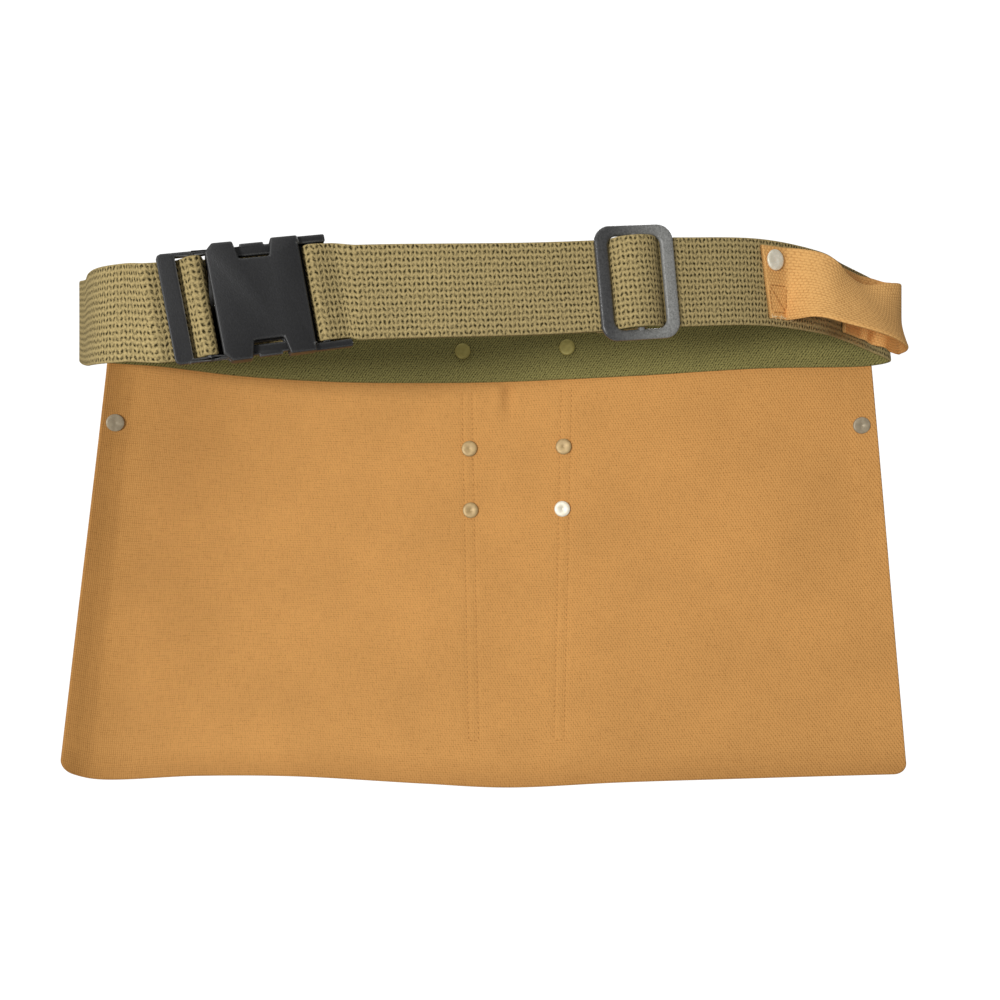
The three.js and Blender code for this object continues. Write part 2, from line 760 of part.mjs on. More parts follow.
function toolLoopStations() {
  const onBelt = (range, out) =>
    [0, 0.5, 1].map((t) => station(frameOnLoop(loopAtX(mix(range.from, range.to, t), "near")), 0, out));
  const sewn = onBelt(LOOP_SEWN_X, loopClear);
  const back = onBelt(LOOP_RETURN_X, loopClear + RETURN_ROOM);
  const free = new THREE.CatmullRomCurve3(
    [
      sewn[2].p,
      ...LOOP_FREE.map((row) => at(row.x * LOOP_HALF_WIDTH, row.y * LOOP_HALF_DEPTH, row.z * BELT_WIDTH)),
      back[0].p,
    ],
    false,
    "centripetal",
  );
  const middle = Array.from({ length: LOOP_STEPS - 1 }, (_, i) => {
    const t = (i + 1) / LOOP_STEPS;
    const a = free.getTangentAt(t);
    const leaning = Math.sin(Math.PI * Math.min(1, t / LOOP_LEAN.span));
    const lean = -leaning * THREE.MathUtils.degToRad(LOOP_LEAN.degrees);
    const level = at(0, 0, 1).addScaledVector(a, -a.z).normalize();
    return { p: free.getPointAt(t), w: level.applyAxisAngle(a, lean) };
  });
  return [...sewn, ...middle, ...back];
}

// This rivet's larger cap is on the outer face, so its frame looks inwards.
function facingIn(frame) {
  return { ...frame, a: frame.a.clone().negate(), n: frame.n.clone().negate() };
}

const loopRivetPlace = frameOnLoop(loopAtX(LOOP_RIVET.x, "near"));
rivets.rivet_tool_loop = {
  frame: facingIn({
    ...loopRivetPlace,
    o: inFrame(loopRivetPlace, 0, HALF_BELT + GAP + LOOP_THICK, LOOP_RIVET.up),
  }),
  stack: LOOP_THICK + GAP + BELT_THICK,
  through: ["tool_loop", "belt"],
};

// Buckle and slider

// The same plate on both sides of the strap's middle line.
const bothSides = (upFrom, upTo, make) => [make(upFrom, upTo), make(-upTo, -upFrom)];

function femaleBuckle() {
  const f = FEMALE;
  const notch = f.half - NOTCH.deep;
  const outline = shapeOf([
    [f.left, -f.half + f.corner],
    [f.left + f.corner, -f.half],
    [NOTCH.left, -f.half],
    [NOTCH.left + NOTCH.slant, -notch],
    [NOTCH.right - NOTCH.slant, -notch],
    [NOTCH.right, -f.half],
    [f.ear.low, -f.half],
    [f.ear.low, -f.earInner],
    [f.right, -f.earInner],
    [f.right, f.earInner],
    [f.ear.high, f.earInner],
    [f.ear.high, f.half],
    [NOTCH.right, f.half],
    [NOTCH.right - NOTCH.slant, notch],
    [NOTCH.left + NOTCH.slant, notch],
    [NOTCH.left, f.half],
    [f.left + f.corner, f.half],
    [f.left, f.half - f.corner],
  ]);
  const body = plate(buckleFrame, outline, -f.thick / 2, f.thick / 2);
  const socket = plate(
    buckleFrame,
    rectangle(f.left - 1, -SOCKET.half, SOCKET.right, SOCKET.half),
    -SOCKET.thick / 2,
    SOCKET.thick / 2,
  );
  const beyond = rectangle(f.right + 0.01, -f.half - 1, f.ear.low + 1, f.half + 1);
  const earTrim = [
    plate(buckleFrame, beyond, f.earThick / 2, f.thick),
    plate(buckleFrame, beyond, -f.thick, -f.earThick / 2),
  ];
  return join([cut(body, [socket, ...earTrim]), crossBar(buckleFrame, FEMALE_BAR, 0, BAR, f.half - 1)]);
}

function maleBuckle() {
  const m = MALE;
  const thin = (x0, y0, x1, y1) => plate(buckleFrame, rectangle(x0, y0, x1, y1), -m.thick / 2, m.thick / 2);
  const ladder = plate(
    buckleFrame,
    roundedRectangle(m.left, -m.half, m.barRight, m.half, m.corner),
    -m.thick / 2,
    m.thick / 2,
  );
  return join([
    ladder,
    ...bothSides(m.half - m.rail, m.half, (y0, y1) => thin(m.barRight - 2, y0, m.base.left + 1, y1)),
    crossBar(buckleFrame, MALE_BAR, 0, BAR, m.half - 0.5),
    thin(m.base.left, -m.half, m.base.right, m.half),
    ...bothSides(m.half - m.arm, m.half, (y0, y1) => thin(m.base.right - 1, y0, m.armEnd, y1)),
    ...bothSides(m.half - m.arm, m.padOut, (y0, y1) => thin(m.pad.left, y0, m.pad.right, y1)),
    thin(m.base.right - 1, -m.tongue, m.tongueEnd, m.tongue),
  ]);
}

function sliderGeometry() {
  const s = SLIDER;
  const outer = roundedRectangle(-s.wide / 2, -s.high / 2, s.wide / 2, s.high / 2, s.corner);
  const opening = rectangle(-s.openWide / 2, -s.openHigh / 2, s.openWide / 2, s.openHigh / 2);
  const frame = plate(sliderFrame, outer, -s.thick / 2, s.thick / 2);
  const window = plate(sliderFrame, opening, -s.thick, s.thick);
  return join([cut(frame, [window]), crossBar(sliderFrame, 0, 0, SLIDER_BAR, s.openHigh / 2 + 1)]);
}

// Assembly

const shapes = {
  belt: ribbon(beltStations(), BELT_WIDTH, BELT_THICK),
  back_panel: sheet(
    steps(PANEL_CELLS.down).map((v) => panelColumns.map((u) => panelPoint(u, v))),
    CANVAS,
  ),
  pouch_left: pouches.left.geometry,
  pouch_right: pouches.right.geometry,
  small_pocket_left: smallPocket("left").geometry,
  small_pocket_right: smallPocket("right").geometry,
  centre_pocket: centrePocket().geometry,
  tool_loop: ribbon(toolLoopStations(), LOOP_STRIP, LOOP_THICK),
  buckle_female: femaleBuckle(),
  buckle_male: maleBuckle(),
  slider: sliderGeometry(),
};

for (const [name, rivet] of Object.entries(rivets)) {
  for (const sheetName of rivet.through) {
    shapes[sheetName] = cut(shapes[sheetName], [holeGeometry(rivet.frame, rivet.stack)]);
  }
  shapes[name] = rivetGeometry(rivet.frame, rivet.stack);
}

const LOOK_OF = {
  belt: LOOK.webbing,
  tool_loop: LOOK.loopCanvas,
  buckle_female: LOOK.plastic,
  buckle_male: LOOK.plastic,
  slider: LOOK.glossPlastic,
};

const apron = new THREE.Group();
for (const [name, geometry] of Object.entries(shapes)) {
  const look = LOOK_OF[name] || (name.startsWith("rivet_") ? LOOK.rivetMetal : LOOK.canvas);
  geometry.computeVertexNormals();
  const mesh = new THREE.Mesh(geometry, new THREE.MeshStandardMaterial(look));
  mesh.name = name;
  apron.add(mesh);
}

export default apron;
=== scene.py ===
# Nail apron with a webbing belt, in metres, +Z up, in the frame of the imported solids.
# The camera stands at the wearer's back (-Y) and looks along +Y.

import math

import bpy
import numpy as np
from mathutils import Matrix, Vector


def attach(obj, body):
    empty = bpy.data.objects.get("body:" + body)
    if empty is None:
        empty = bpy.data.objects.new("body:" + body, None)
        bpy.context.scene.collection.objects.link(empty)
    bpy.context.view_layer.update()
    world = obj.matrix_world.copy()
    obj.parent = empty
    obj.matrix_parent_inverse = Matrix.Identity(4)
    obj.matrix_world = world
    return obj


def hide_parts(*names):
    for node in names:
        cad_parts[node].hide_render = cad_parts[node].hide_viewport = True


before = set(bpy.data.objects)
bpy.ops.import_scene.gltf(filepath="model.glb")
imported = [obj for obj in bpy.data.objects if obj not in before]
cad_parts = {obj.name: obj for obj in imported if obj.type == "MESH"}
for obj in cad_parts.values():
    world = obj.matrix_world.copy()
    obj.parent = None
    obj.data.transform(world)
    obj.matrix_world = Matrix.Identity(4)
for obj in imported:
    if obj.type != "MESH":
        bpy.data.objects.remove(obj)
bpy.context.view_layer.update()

MM = 0.001
rng = np.random.default_rng(11)

# Fit
GAP = 0.3  # between pieces that touch, in mm like all sizes below
LAYER_ROOM = 0.15  # more of it between two layers of webbing
PANEL_ROOM = 0.05  # more of it between the belt and the panel

# Belt
BELT_WIDTH = 50
BELT_THICK = 2.3
LOOP_HALF_WIDTH = 250
LOOP_HALF_DEPTH = 125
BELT_STEP = 3
STRAP_STEP = 1
CURVE_STEPS = 80  # points from one given point of a curve to the next
SEARCH_STEPS = 6001
NEARBY = 0.004  # share of a surface over which its slope is taken
SIDES = ("left", "right")
INNER_FACE = 1000  # how far the texture places of a strap's inner face are set off
STRAND_RUN = 20  # straight stretch of webbing beside the slider and the buckle

# Plan of the belt, once round from the buckle: shares of the half width, the half depth and the belt width
BELT_PLAN = [
    (-0.8, -1.03, -0.46),
    (-0.604, -1.07, -0.4),
    (-0.36, -0.94, -0.2),
    (0.088, -0.792, -0.06),
    (0.432, -0.64, 0.1),
    (0.604, -0.528, 0.16),
    (0.776, -0.29, 0.18),
    (0.9, 0.07, 0.25),
    (1.01, 0.28, 0.2),
    (1.084, 0.39, 0.12),
    (1.096, 0.45, 0.09),
    (1.06, 0.496, 0.06),
    (0.748, 0.55, 0.04),
    (0.412, 0.745, 0),
    (0, 0.888, -0.05),
    (-0.244, 0.904, -0.06),
    (-0.5, 0.856, -0.06),
    (-0.76, 0.688, -0.03),
    (-0.96, 0.416, 0.02),
    (-1.08, 0.27, 0.02),
    (-1.095, 0.11, 0),
    (-1.06, -0.12, -0.1),
    (-0.97, -0.47, -0.28),
]

# Cloth
CANVAS = 1.3
EDGE_OUT = 0.35  # how far a cloth's edge stands out, in thicknesses
PANEL_HEIGHT = 311
PANEL_TOP = 23
PANEL_LENGTH = PANEL_TOP + BELT_WIDTH / 2 + PANEL_HEIGHT
PANEL_LEFT_X = -1.076 * LOOP_HALF_WIDTH
PANEL_RIGHT_X = 1.056 * LOOP_HALF_WIDTH

# Hem of the back panel, from left to right: shares of the half width, the half depth and the panel height
HEM = [
    (-1.26, 0.5, -1.0),
    (-1.18, 0.584, -1.03),
    (-0.908, 0.768, -1.045),
    (-0.64, 0.84, -1.055),
    (-0.244, 0.9, -1.08),
    (0.02, 0.904, -1.09),
    (0.368, 0.9, -1.077),
    (0.794, 0.856, -1.062),
    (1.212, 0.72, -1.035),
]

# Pockets
FLANGE = 15
MOUTH_Z = {"seam": -71, "edge": -55}
SMALL_MOUTH_Z = {"seam": -118, "edge": -104}
CENTRE_MOUTH_Z = -46
SMALL_ON_POUCH = {"edge": 0.008, "seam": 0.996, "foot": 0.985, "sag": 0.02}  # as shares of the pouch
SEAM_X = {"left": -0.082 * LOOP_HALF_WIDTH, "right": 0.182 * LOOP_HALF_WIDTH}
SEAM_TAPER = 7
EDGE_INSET = 1.5
POUCH_DEPTH = 44
SMALL_DEPTH = 24
CENTRE_DEPTH = 15
CENTRE_FLANGE = 7
MOUTH_SAG = 7
FOOT_INSET = 2
SIDE_ROOM = 1.2
LOBE_POWER = 2.6  # how square a pocket's bulge is across
FLOOR_SHARE = 1.6  # how many times lower than wide its sewn border is at the foot
HEM_BAND = 16  # folded hem along a mouth
HEM_EXTRA = 0.7  # how much thicker it is
HEM_FADE = 1.2
CELLS = {"panel": (420, 240), "pouch": (150, 130), "small": (150, 100), "centre": (60, 130)}
MOUTH_ROWS = {"pouch": (0.012, 0.058), "small": (0.014, 0.07), "centre": (0.01, 0.055)}

# Hems, crease and slight waves of the back panel, where shares are of its length
SIDE_HEM = {"wide": 13, "high": 0.4, "fade": 6}
PANEL_CORNER = 8
FOOT_HEM = {"wide": 11, "high": 0.5, "fade": 1.5}
HEM_START = 0.03
CREASE = {"x": 7, "from_z": -27, "to_z": -72, "wide": 4.5, "deep": 2.6, "start": 0.015}
RIDGE = {"beside": 9, "wide": 5, "share": 0.6}
WAVES = {"high": 0.5, "across": 47, "down": 71, "sway": 1.3, "sway_down": 60, "start": 0.2}

# Double seams, from the pouch's inner edge outwards
SEAM_LINES = (10, 2.3)
SEAM_TOP_Z = -34
SEAM_FOOT_Z = -303
GROOVE = {"wide": 1.3, "deep": 0.45}
STITCH = {"long": 2.0, "pitch": 3.9, "thick": 0.55, "lift": 0.02}
STITCH_AHEAD = 0.6  # over which a stitch takes its direction
SEAM_END = {"pitch": 3.2, "below": 0.002}

# Rivets
RIVET = {"cap": 6.1, "back": 4.8, "dome": 1.7, "clear": 0.6, "shank": 1.9}
DIMPLE = {"belt": 0.1, "upper": 0.25, "lower": 0.5, "edge": 0.5, "tool_loop": 0.3}
RIVET_Z = {"upper": -78.5, "lower": -126, "edge": -64}
SEAM_TO_RIVET = 5
SEAM_TO_BELT_RIVET = {"left": -8, "right": 6}
EDGE_TO_RIVET = 9

# Buckle and slider, about their middles: along the strap, out from the wearer and up
BUCKLE_X = -0.496 * LOOP_HALF_WIDTH
BAR = 2.2
FEMALE_BAR = 31
MALE_BAR = -28
MALE_LEFT = -45.5
MALE_BAR_RIGHT = -36.6
FEMALE_THICK = 12
BACK_PLATE = {"along": (20, 33), "out": (-5.9, -5.0), "up": (-BELT_WIDTH / 2 - 2, BELT_WIDTH / 2 + 2)}
EDGE_ROUND = {"female": 0.9, "male": 0.6}
FLAT_WITHIN = 2  # degrees between faces that are joined
SHARP_ABOVE = 32  # degrees between faces whose edge is rounded
SLIDER_X = 0.3 * LOOP_HALF_WIDTH
SLIDER_THICK = 3.5
SLIDER_WIDE = 46
SLIDER_HIGH = BELT_WIDTH + 13
SLIDER_OPEN = 31
SLIDER_OPEN_HIGH = BELT_WIDTH + 1.6
SLIDER_CORNER = {"outer": 9, "inner": 5.5}
SLIDER_BAR = 2
SLIDER_BAR_END = {"sunk": 1, "round": 0.3}
SLIDER_SECTION = {"points": 20, "across": 0.6, "out": 0.7}  # points, and powers that square it
CORNER_POINTS = 24

# Stops of the webbing at the slider and the buckle, as (along, out) from places named in belt_path
FREE_END = [(-7, -0.6), (3, -0.4)]
INNER_EXIT = [(4, 0.4), (0, 0), (-9, 0)]
FEMALE_ENTRY = [(12, -0.1)]
FEMALE_EXIT = [(12, 0.9)]
OUTER_ENTRY = [(-9, 0), (0, 0)]
OUTER_EXIT = [(0, 0), (9, 0)]
MALE_ENTRY = [(-7, -2.2)]
MALE_PAST = 0.8
TAIL_FALL = [(0, -4.4), (0.9, -7.2)]
TAIL = [(-6, -0.3), (15, -0.9)]
TAIL_START = [(4, -0.6)]
BULGE = {"inset": 2.2, "lift": 0.7, "power": 0.62, "points": 21}
WRAP_DEGREES = 9

# Tool loop
LOOP_STRIP = 42
LOOP_THICK = 2
LOOP_SEWN_X = (0.6 * LOOP_HALF_WIDTH, 0.668 * LOOP_HALF_WIDTH)
LOOP_RETURN_X = (0.96 * LOOP_HALF_WIDTH, 0.888 * LOOP_HALF_WIDTH)
LOOP_RIVET = {"x": 0.628 * LOOP_HALF_WIDTH, "up": 12.4}
LOOP_LEAN = {"degrees": 38, "span": 0.5}
RETURN_ROOM = 0.5
LOOP_FREE = [
    (0.736, -0.568, 0.08),
    (0.792, -0.58, -0.06),
    (0.848, -0.564, -0.15),
    (0.9, -0.512, -0.19),
    (0.944, -0.424, -0.19),
    (0.976, -0.288, -0.16),
    (1.004, -0.112, -0.08),
    (1.028, 0.064, 0.02),
    (1.036, 0.14, 0.1),
    (1.026, 0.2, 0.16),
    (1.004, 0.19, 0.2),
]
LOOP_SLANT = 5  # how much further its lower corner starts along the belt
BOX_STITCH = {"long": 2.4, "thick": 0.8, "pitch": 3.0, "lift": 0.1}
FRAY = {"count": 16, "long": 3.4, "thick": 0.5, "along": (5, 14), "up": (-20.6, 1.2)}

# The stitched box: corners as distance along and up on the sewn end
BOX = [(3.5, -2), (15, -2), (15, -17.5), (5, -17.5), (3.5, -2), (15, -17.5)]

# Camera, fitted to the photograph, with its clipping distances in metres
CAMERA = {"place": (0, -607, -118), "lens": 33.66, "sensor": 36, "clip": (0.01, 100)}

# Lights: name, place in metres, size in metres, power in watts
LIGHTS = [
    ("key", (-0.8, -1.7, -0.2), (0.5, 0.22), 24.5),
    ("top", (-0.4, -0.6, 1.7), (1.2, 1.2), 5),
    ("behind", (0.3, 1.7, 0.9), (1.4, 1.0), 26),
]
LIGHT_AIM = (0, 0, -0.15)
WORLD_FILL = 0.3
WORLD_SEEN = 1.1


# Curves


class Spline:
    """A centripetal Catmull-Rom curve through points, with places given as shares of its length."""

    def __init__(self, points, closed):
        p = np.asarray(points, float)
        if closed:
            p = np.vstack([p[-1], p, p[0], p[1]])
        else:
            p = np.vstack([2 * p[0] - p[1], p, 2 * p[-1] - p[-2]])
        parts = [self.segment(*p[i - 1 : i + 3]) for i in range(1, len(p) - 2)]
        self.p = np.vstack([*parts, p[-2][None]])
        self.s = run_along(self.p)
        self.length = self.s[-1]
        self.t = np.gradient(self.p, self.s, axis=0)
        if closed:
            self.t[0] = self.t[-1] = (self.p[1] - self.p[-2]) / (self.s[1] + self.length - self.s[-2])

    @staticmethod
    def segment(p0, p1, p2, p3):
        """Points from the second to the third of four points."""
        d0, d1, d2 = (max(1e-4, np.linalg.norm(b - a) ** 0.5) for a, b in ((p0, p1), (p1, p2), (p2, p3)))
        m1 = ((p1 - p0) / d0 - (p2 - p0) / (d0 + d1) + (p2 - p1) / d1) * d1
        m2 = ((p2 - p1) / d1 - (p3 - p1) / (d1 + d2) + (p3 - p2) / d2) * d1
        t = np.linspace(0, 1, CURVE_STEPS, endpoint=False)[:, None]
        square = (-3 * p1 + 3 * p2 - 2 * m1 - m2) * t**2
        return p1 + m1 * t + square + (2 * p1 - 2 * p2 + m1 + m2) * t**3

    def at(self, u):
        return between(np.asarray(u) * self.length, self.s, self.p)

    def along(self, u):
        return unit(between(np.asarray(u) * self.length, self.s, self.t))


def run_along(points):
    """The distance along a line of points, at each of them."""
    return np.concatenate([[0], np.cumsum(np.linalg.norm(np.diff(points, axis=0), axis=1))])


def between(wanted, run, values):
    """Rows of values at the wanted distances, where each row is known at its own distance."""
    return np.stack([np.interp(wanted, run, column) for column in np.asarray(values).T], -1)


def unit(v):
    return v / np.linalg.norm(v, axis=-1, keepdims=True)


def mix(a, b, t):
    return a + (b - a) * t


def smooth(t):
    t = np.clip(t, 0, 1)
    return t * t * (3 - 2 * t)


def scaled(table, high):
    """Points in mm from a table of shares."""
    return [(x * LOOP_HALF_WIDTH, y * LOOP_HALF_DEPTH, z * high) for x, y, z in table]


loop = Spline(scaled(BELT_PLAN, BELT_WIDTH), True)
hem_curve = Spline(scaled(HEM, PANEL_HEIGHT), False)


def frame_on_loop(u):
    """Origin, along, out and up at shares of the way round the loop."""
    u = np.asarray(u, float) % 1
    a = loop.along(u)
    n = unit(np.stack([a[..., 1], -a[..., 0], np.zeros_like(a[..., 0])], -1))
    return loop.at(u), a, n, unit(np.cross(n, a))


def in_frame(place, along=0.0, out=0.0, up=0.0):
    """A point, or many, at distances from a frame's origin."""
    o, a, n, w = place
    along, out, up = (np.asarray(x, float)[..., None] for x in (along, out, up))
    return o + a * along + n * out + w * up


def loop_at_x(x, side="near"):
    """The share of the way round at which the near or far side of the loop has a given x."""
    u = np.linspace(0, 1, SEARCH_STEPS)
    p = loop.at(u)[:, 0]
    rising = np.diff(p) > 0
    wanted = rising if side == "near" else ~rising
    i = np.flatnonzero(wanted & ((p[:-1] - x) * (p[1:] - x) <= 0))[0]
    return u[i] + (u[i + 1] - u[i]) * (x - p[i]) / (p[i + 1] - p[i])


buckle_u = loop_at_x(BUCKLE_X)
slider_u = loop_at_x(SLIDER_X)
panel_left_u = loop_at_x(PANEL_LEFT_X, "far")
panel_right_u = loop_at_x(PANEL_RIGHT_X, "far")
HALF_BELT = BELT_THICK / 2
LAYER = BELT_THICK + GAP + LAYER_ROOM
UNDER_SLIDER = SLIDER_THICK / 2 + GAP + HALF_BELT
PANEL_WIDTH = (panel_left_u - panel_right_u) * loop.length
POUCH_WIDTH = (PANEL_WIDTH - SEAM_X["right"] + SEAM_X["left"]) / 2
buckle_frame = frame_on_loop(buckle_u)
slider_frame = frame_on_loop(slider_u)
slider_frame = (in_frame(slider_frame, 0, UNDER_SLIDER), *slider_frame[1:])


# Meshes


def belongs(made, slot, *nodes):
    """The piece rides on the one body and stands for these solids."""
    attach(made, "root")
    if nodes:
        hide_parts(*nodes)
    return made


def in_scene(name, data):
    made = bpy.data.objects.new(name, data)
    bpy.context.scene.collection.objects.link(made)
    return made


def mesh_object(name, points, faces, material, uv=None):
    """A smooth mesh from points in mm, with texture places in metres."""
    mesh = bpy.data.meshes.new(name)
    mesh.from_pydata((np.asarray(points) * MM).tolist(), [], [list(map(int, f)) for f in faces])
    if uv is not None:
        layer = mesh.uv_layers.new(name="UVMap")
        corner = np.empty(len(mesh.loops), np.int32)
        mesh.loops.foreach_get("vertex_index", corner)
        layer.data.foreach_set("uv", (np.asarray(uv)[corner] * MM).astype(np.float32).ravel())
    mesh.shade_smooth()
    mesh.materials.append(material)
    mesh.update()
    return in_scene(name, mesh)


def grid_faces(rows, columns, wrap=False):
    """Quads between points in rows, which close on themselves if they wrap."""
    r, c = np.meshgrid(np.arange(rows - 1), np.arange(columns if wrap else columns - 1), indexing="ij")
    following = (c + 1) % columns
    corners = [r * columns + c, r * columns + following, (r + 1) * columns + following, (r + 1) * columns + c]
    return np.stack(corners, -1).reshape(-1, 4)


def cloth(name, grid, thick, uv, material):
    """A closed sheet whose inner face is the grid, with a rounded edge all round."""
    rows, columns = grid.shape[:2]
    n = unit(np.cross(np.gradient(grid, axis=1), np.gradient(grid, axis=0)))
    thick = thick[..., None]
    middle = grid + n * thick / 2
    rim = [(0, c) for c in range(columns)] + [(r, columns - 1) for r in range(1, rows)]
    rim += [(rows - 1, c) for c in range(columns - 2, -1, -1)] + [(r, 0) for r in range(rows - 2, 0, -1)]
    r, c = np.array(rim).T
    away = unit(middle[r, c] - middle[np.clip(r, 1, rows - 2), np.clip(c, 1, columns - 2)])
    edge = middle[r, c] + away * EDGE_OUT * thick[r, c]
    count = rows * columns
    points = np.vstack([grid.reshape(-1, 3), (grid + n * thick).reshape(-1, 3), edge])
    flat_uv = np.vstack([uv.reshape(-1, 2), uv.reshape(-1, 2), uv[r, c]])
    ids = r * columns + c
    quads = grid_faces(rows, columns)
    faces = [*quads, *(quads[:, ::-1] + count)]
    for i in range(len(rim)):
        j = (i + 1) % len(rim)
        faces.append([ids[j], ids[i], 2 * count + i, 2 * count + j])
        faces.append([2 * count + j, 2 * count + i, count + ids[i], count + ids[j]])
    return mesh_object(name, points, faces, material, flat_uv)


def sweep(name, points, ups, profile, material, slant=0.0):
    """A profile of (up, out) points swept along a path, whose first end may slant across its width."""
    t = unit(np.gradient(points, axis=0))
    n = unit(np.cross(t, ups))
    rings = points[:, None] + ups[:, None] * profile[None, :, :1] + n[:, None] * profile[None, :, 1:]
    rows, columns = rings.shape[:2]
    run = run_along(points)
    if slant:
        share = 0.5 - profile[:, 0] / np.ptp(profile[:, 0])
        fade = 1 - smooth(run / (4 * slant))
        rings += t[:, None] * (share[None, :] * fade[:, None] * slant)[..., None]
    across = profile[:, 0] + INNER_FACE * (profile[:, 1] < 0)
    uv = np.stack([np.repeat(run[:, None], columns, 1), np.repeat(across[None], rows, 0)], -1)
    faces = list(grid_faces(rows, columns, wrap=True))
    faces.append(list(range(columns))[::-1])
    faces.append(list(range((rows - 1) * columns, rows * columns)))
    return mesh_object(name, rings.reshape(-1, 3), faces, material, uv.reshape(-1, 2))


def strap_profile(width, thick, across=14):
    """The outline of a flat strap with round edges."""
    half, r = width / 2, thick / 2
    turn = np.radians(np.linspace(-90, 90, 7))
    right = np.stack([half - r + r * np.cos(turn), r * np.sin(turn)], -1)
    top = np.stack([np.linspace(half - r, r - half, across)[1:-1], np.full(across - 2, r)], -1)
    return np.vstack([right, top, -right, -top])


def evened(path, step, rounds):
    """A path of (point, up) pairs at even steps, with its corners softened."""
    both = np.array([np.concatenate(pair) for pair in path])
    run = run_along(both[:, :3])
    both = between(np.linspace(0, run[-1], int(run[-1] / step) + 1), run, both)
    for _ in range(rounds):
        both[1:-1] = both[1:-1] * 0.5 + (both[:-2] + both[2:]) * 0.25
    return both[:, :3], unit(both[:, 3:])


def many(name, shape, places, material):
    """Copies of one small mesh, of (points, faces), at (origin, x, y, z) places, as one object."""
    points, faces = shape
    all_points, all_faces = [], []
    for origin, x, y, z in places:
        offset = len(all_points) * len(points)
        all_points.append(origin + points[:, :1] * x + points[:, 1:2] * y + points[:, 2:] * z)
        all_faces.extend([[i + offset for i in f] for f in faces])
    return mesh_object(name, np.vstack(all_points), all_faces, material)


def lathe(profile, sides=40):
    """Points and faces of a solid turned about z, from (radius, height) pairs, the first and last on z."""
    around = np.linspace(0, 2 * math.pi, sides, endpoint=False)
    rings = np.array(profile[1:-1])
    x = (rings[:, :1] * np.cos(around)).ravel()
    y = (rings[:, :1] * np.sin(around)).ravel()
    z = np.repeat(rings[:, 1], sides)
    points = np.vstack([np.stack([x, y, z], -1), [(0, 0, profile[0][1]), (0, 0, profile[-1][1])]])
    faces = list(grid_faces(len(rings), sides, wrap=True))
    first, last, foot = len(points) - 2, len(points) - 1, (len(rings) - 1) * sides
    for i in range(sides):
        j = (i + 1) % sides
        faces.append([first, j, i])
        faces.append([last, foot + i, foot + j])
    return points, faces


def bead(long, thick, rings=7):
    """Points and faces of a lens-like stitch along x."""
    angles = np.linspace(0, math.pi, rings + 2)[1:-1]
    profile = [(math.sin(a) ** 0.7 * thick / 2, -math.cos(a) * long / 2) for a in angles]
    points, faces = lathe([(0, -long / 2), *profile, (0, long / 2)], 8)
    return points[:, [2, 0, 1]], faces


def stitches_along(points, outs, long, pitch, lift):
    """Places for stitches along a line, with the direction out of the cloth at each point."""
    run = run_along(points)
    middles = np.arange(long, run[-1] - long / 2, pitch)
    at, ahead = between(middles, run, points), between(middles + STITCH_AHEAD, run, points)
    out = unit(between(middles, run, outs))
    x = unit(ahead - at)
    return list(zip(at + out * lift, x, np.cross(out, x), out))


# Materials

WANDER = 1.6  # how far yarns wander from their line, in mm
# Painted shade of the back panel: darkening ramps from its left side and from its foot, and their widths in
# mm
SIDE_PAINTED_SHADE = [(0, (0.76, 0.74, 0.7, 1)), (0.2, (0.71, 0.69, 0.64, 1)), (0.5, (0.88, 0.87, 0.84, 1))]
FOOT_PAINTED_SHADE = [(0, (0.8, 0.78, 0.76, 1))]
PANEL_PAINTED_SHADE = {"side": 44, "foot": 26}
TWILL = {"lean": 0.58, "pitch": 2.3, "mean": 0.64, "strength": 0.42}
# Darker, greener tint of a strap's inner face: partly the webbing's own tone, partly painted shade
INNER_TONE_AND_PAINTED_SHADE = (0.62, 0.71, 0.55, 1)


def srgb(r, g, b):
    """Linear colour of an sRGB colour in 0 to 255."""
    lin = [c / 255 / 12.92 if c <= 10 else ((c / 255 + 0.055) / 1.055) ** 2.4 for c in (r, g, b)]
    return (*lin, 1)


def grey(level):
    return (level, level, level, 1)


WHITE = [(1, grey(1))]


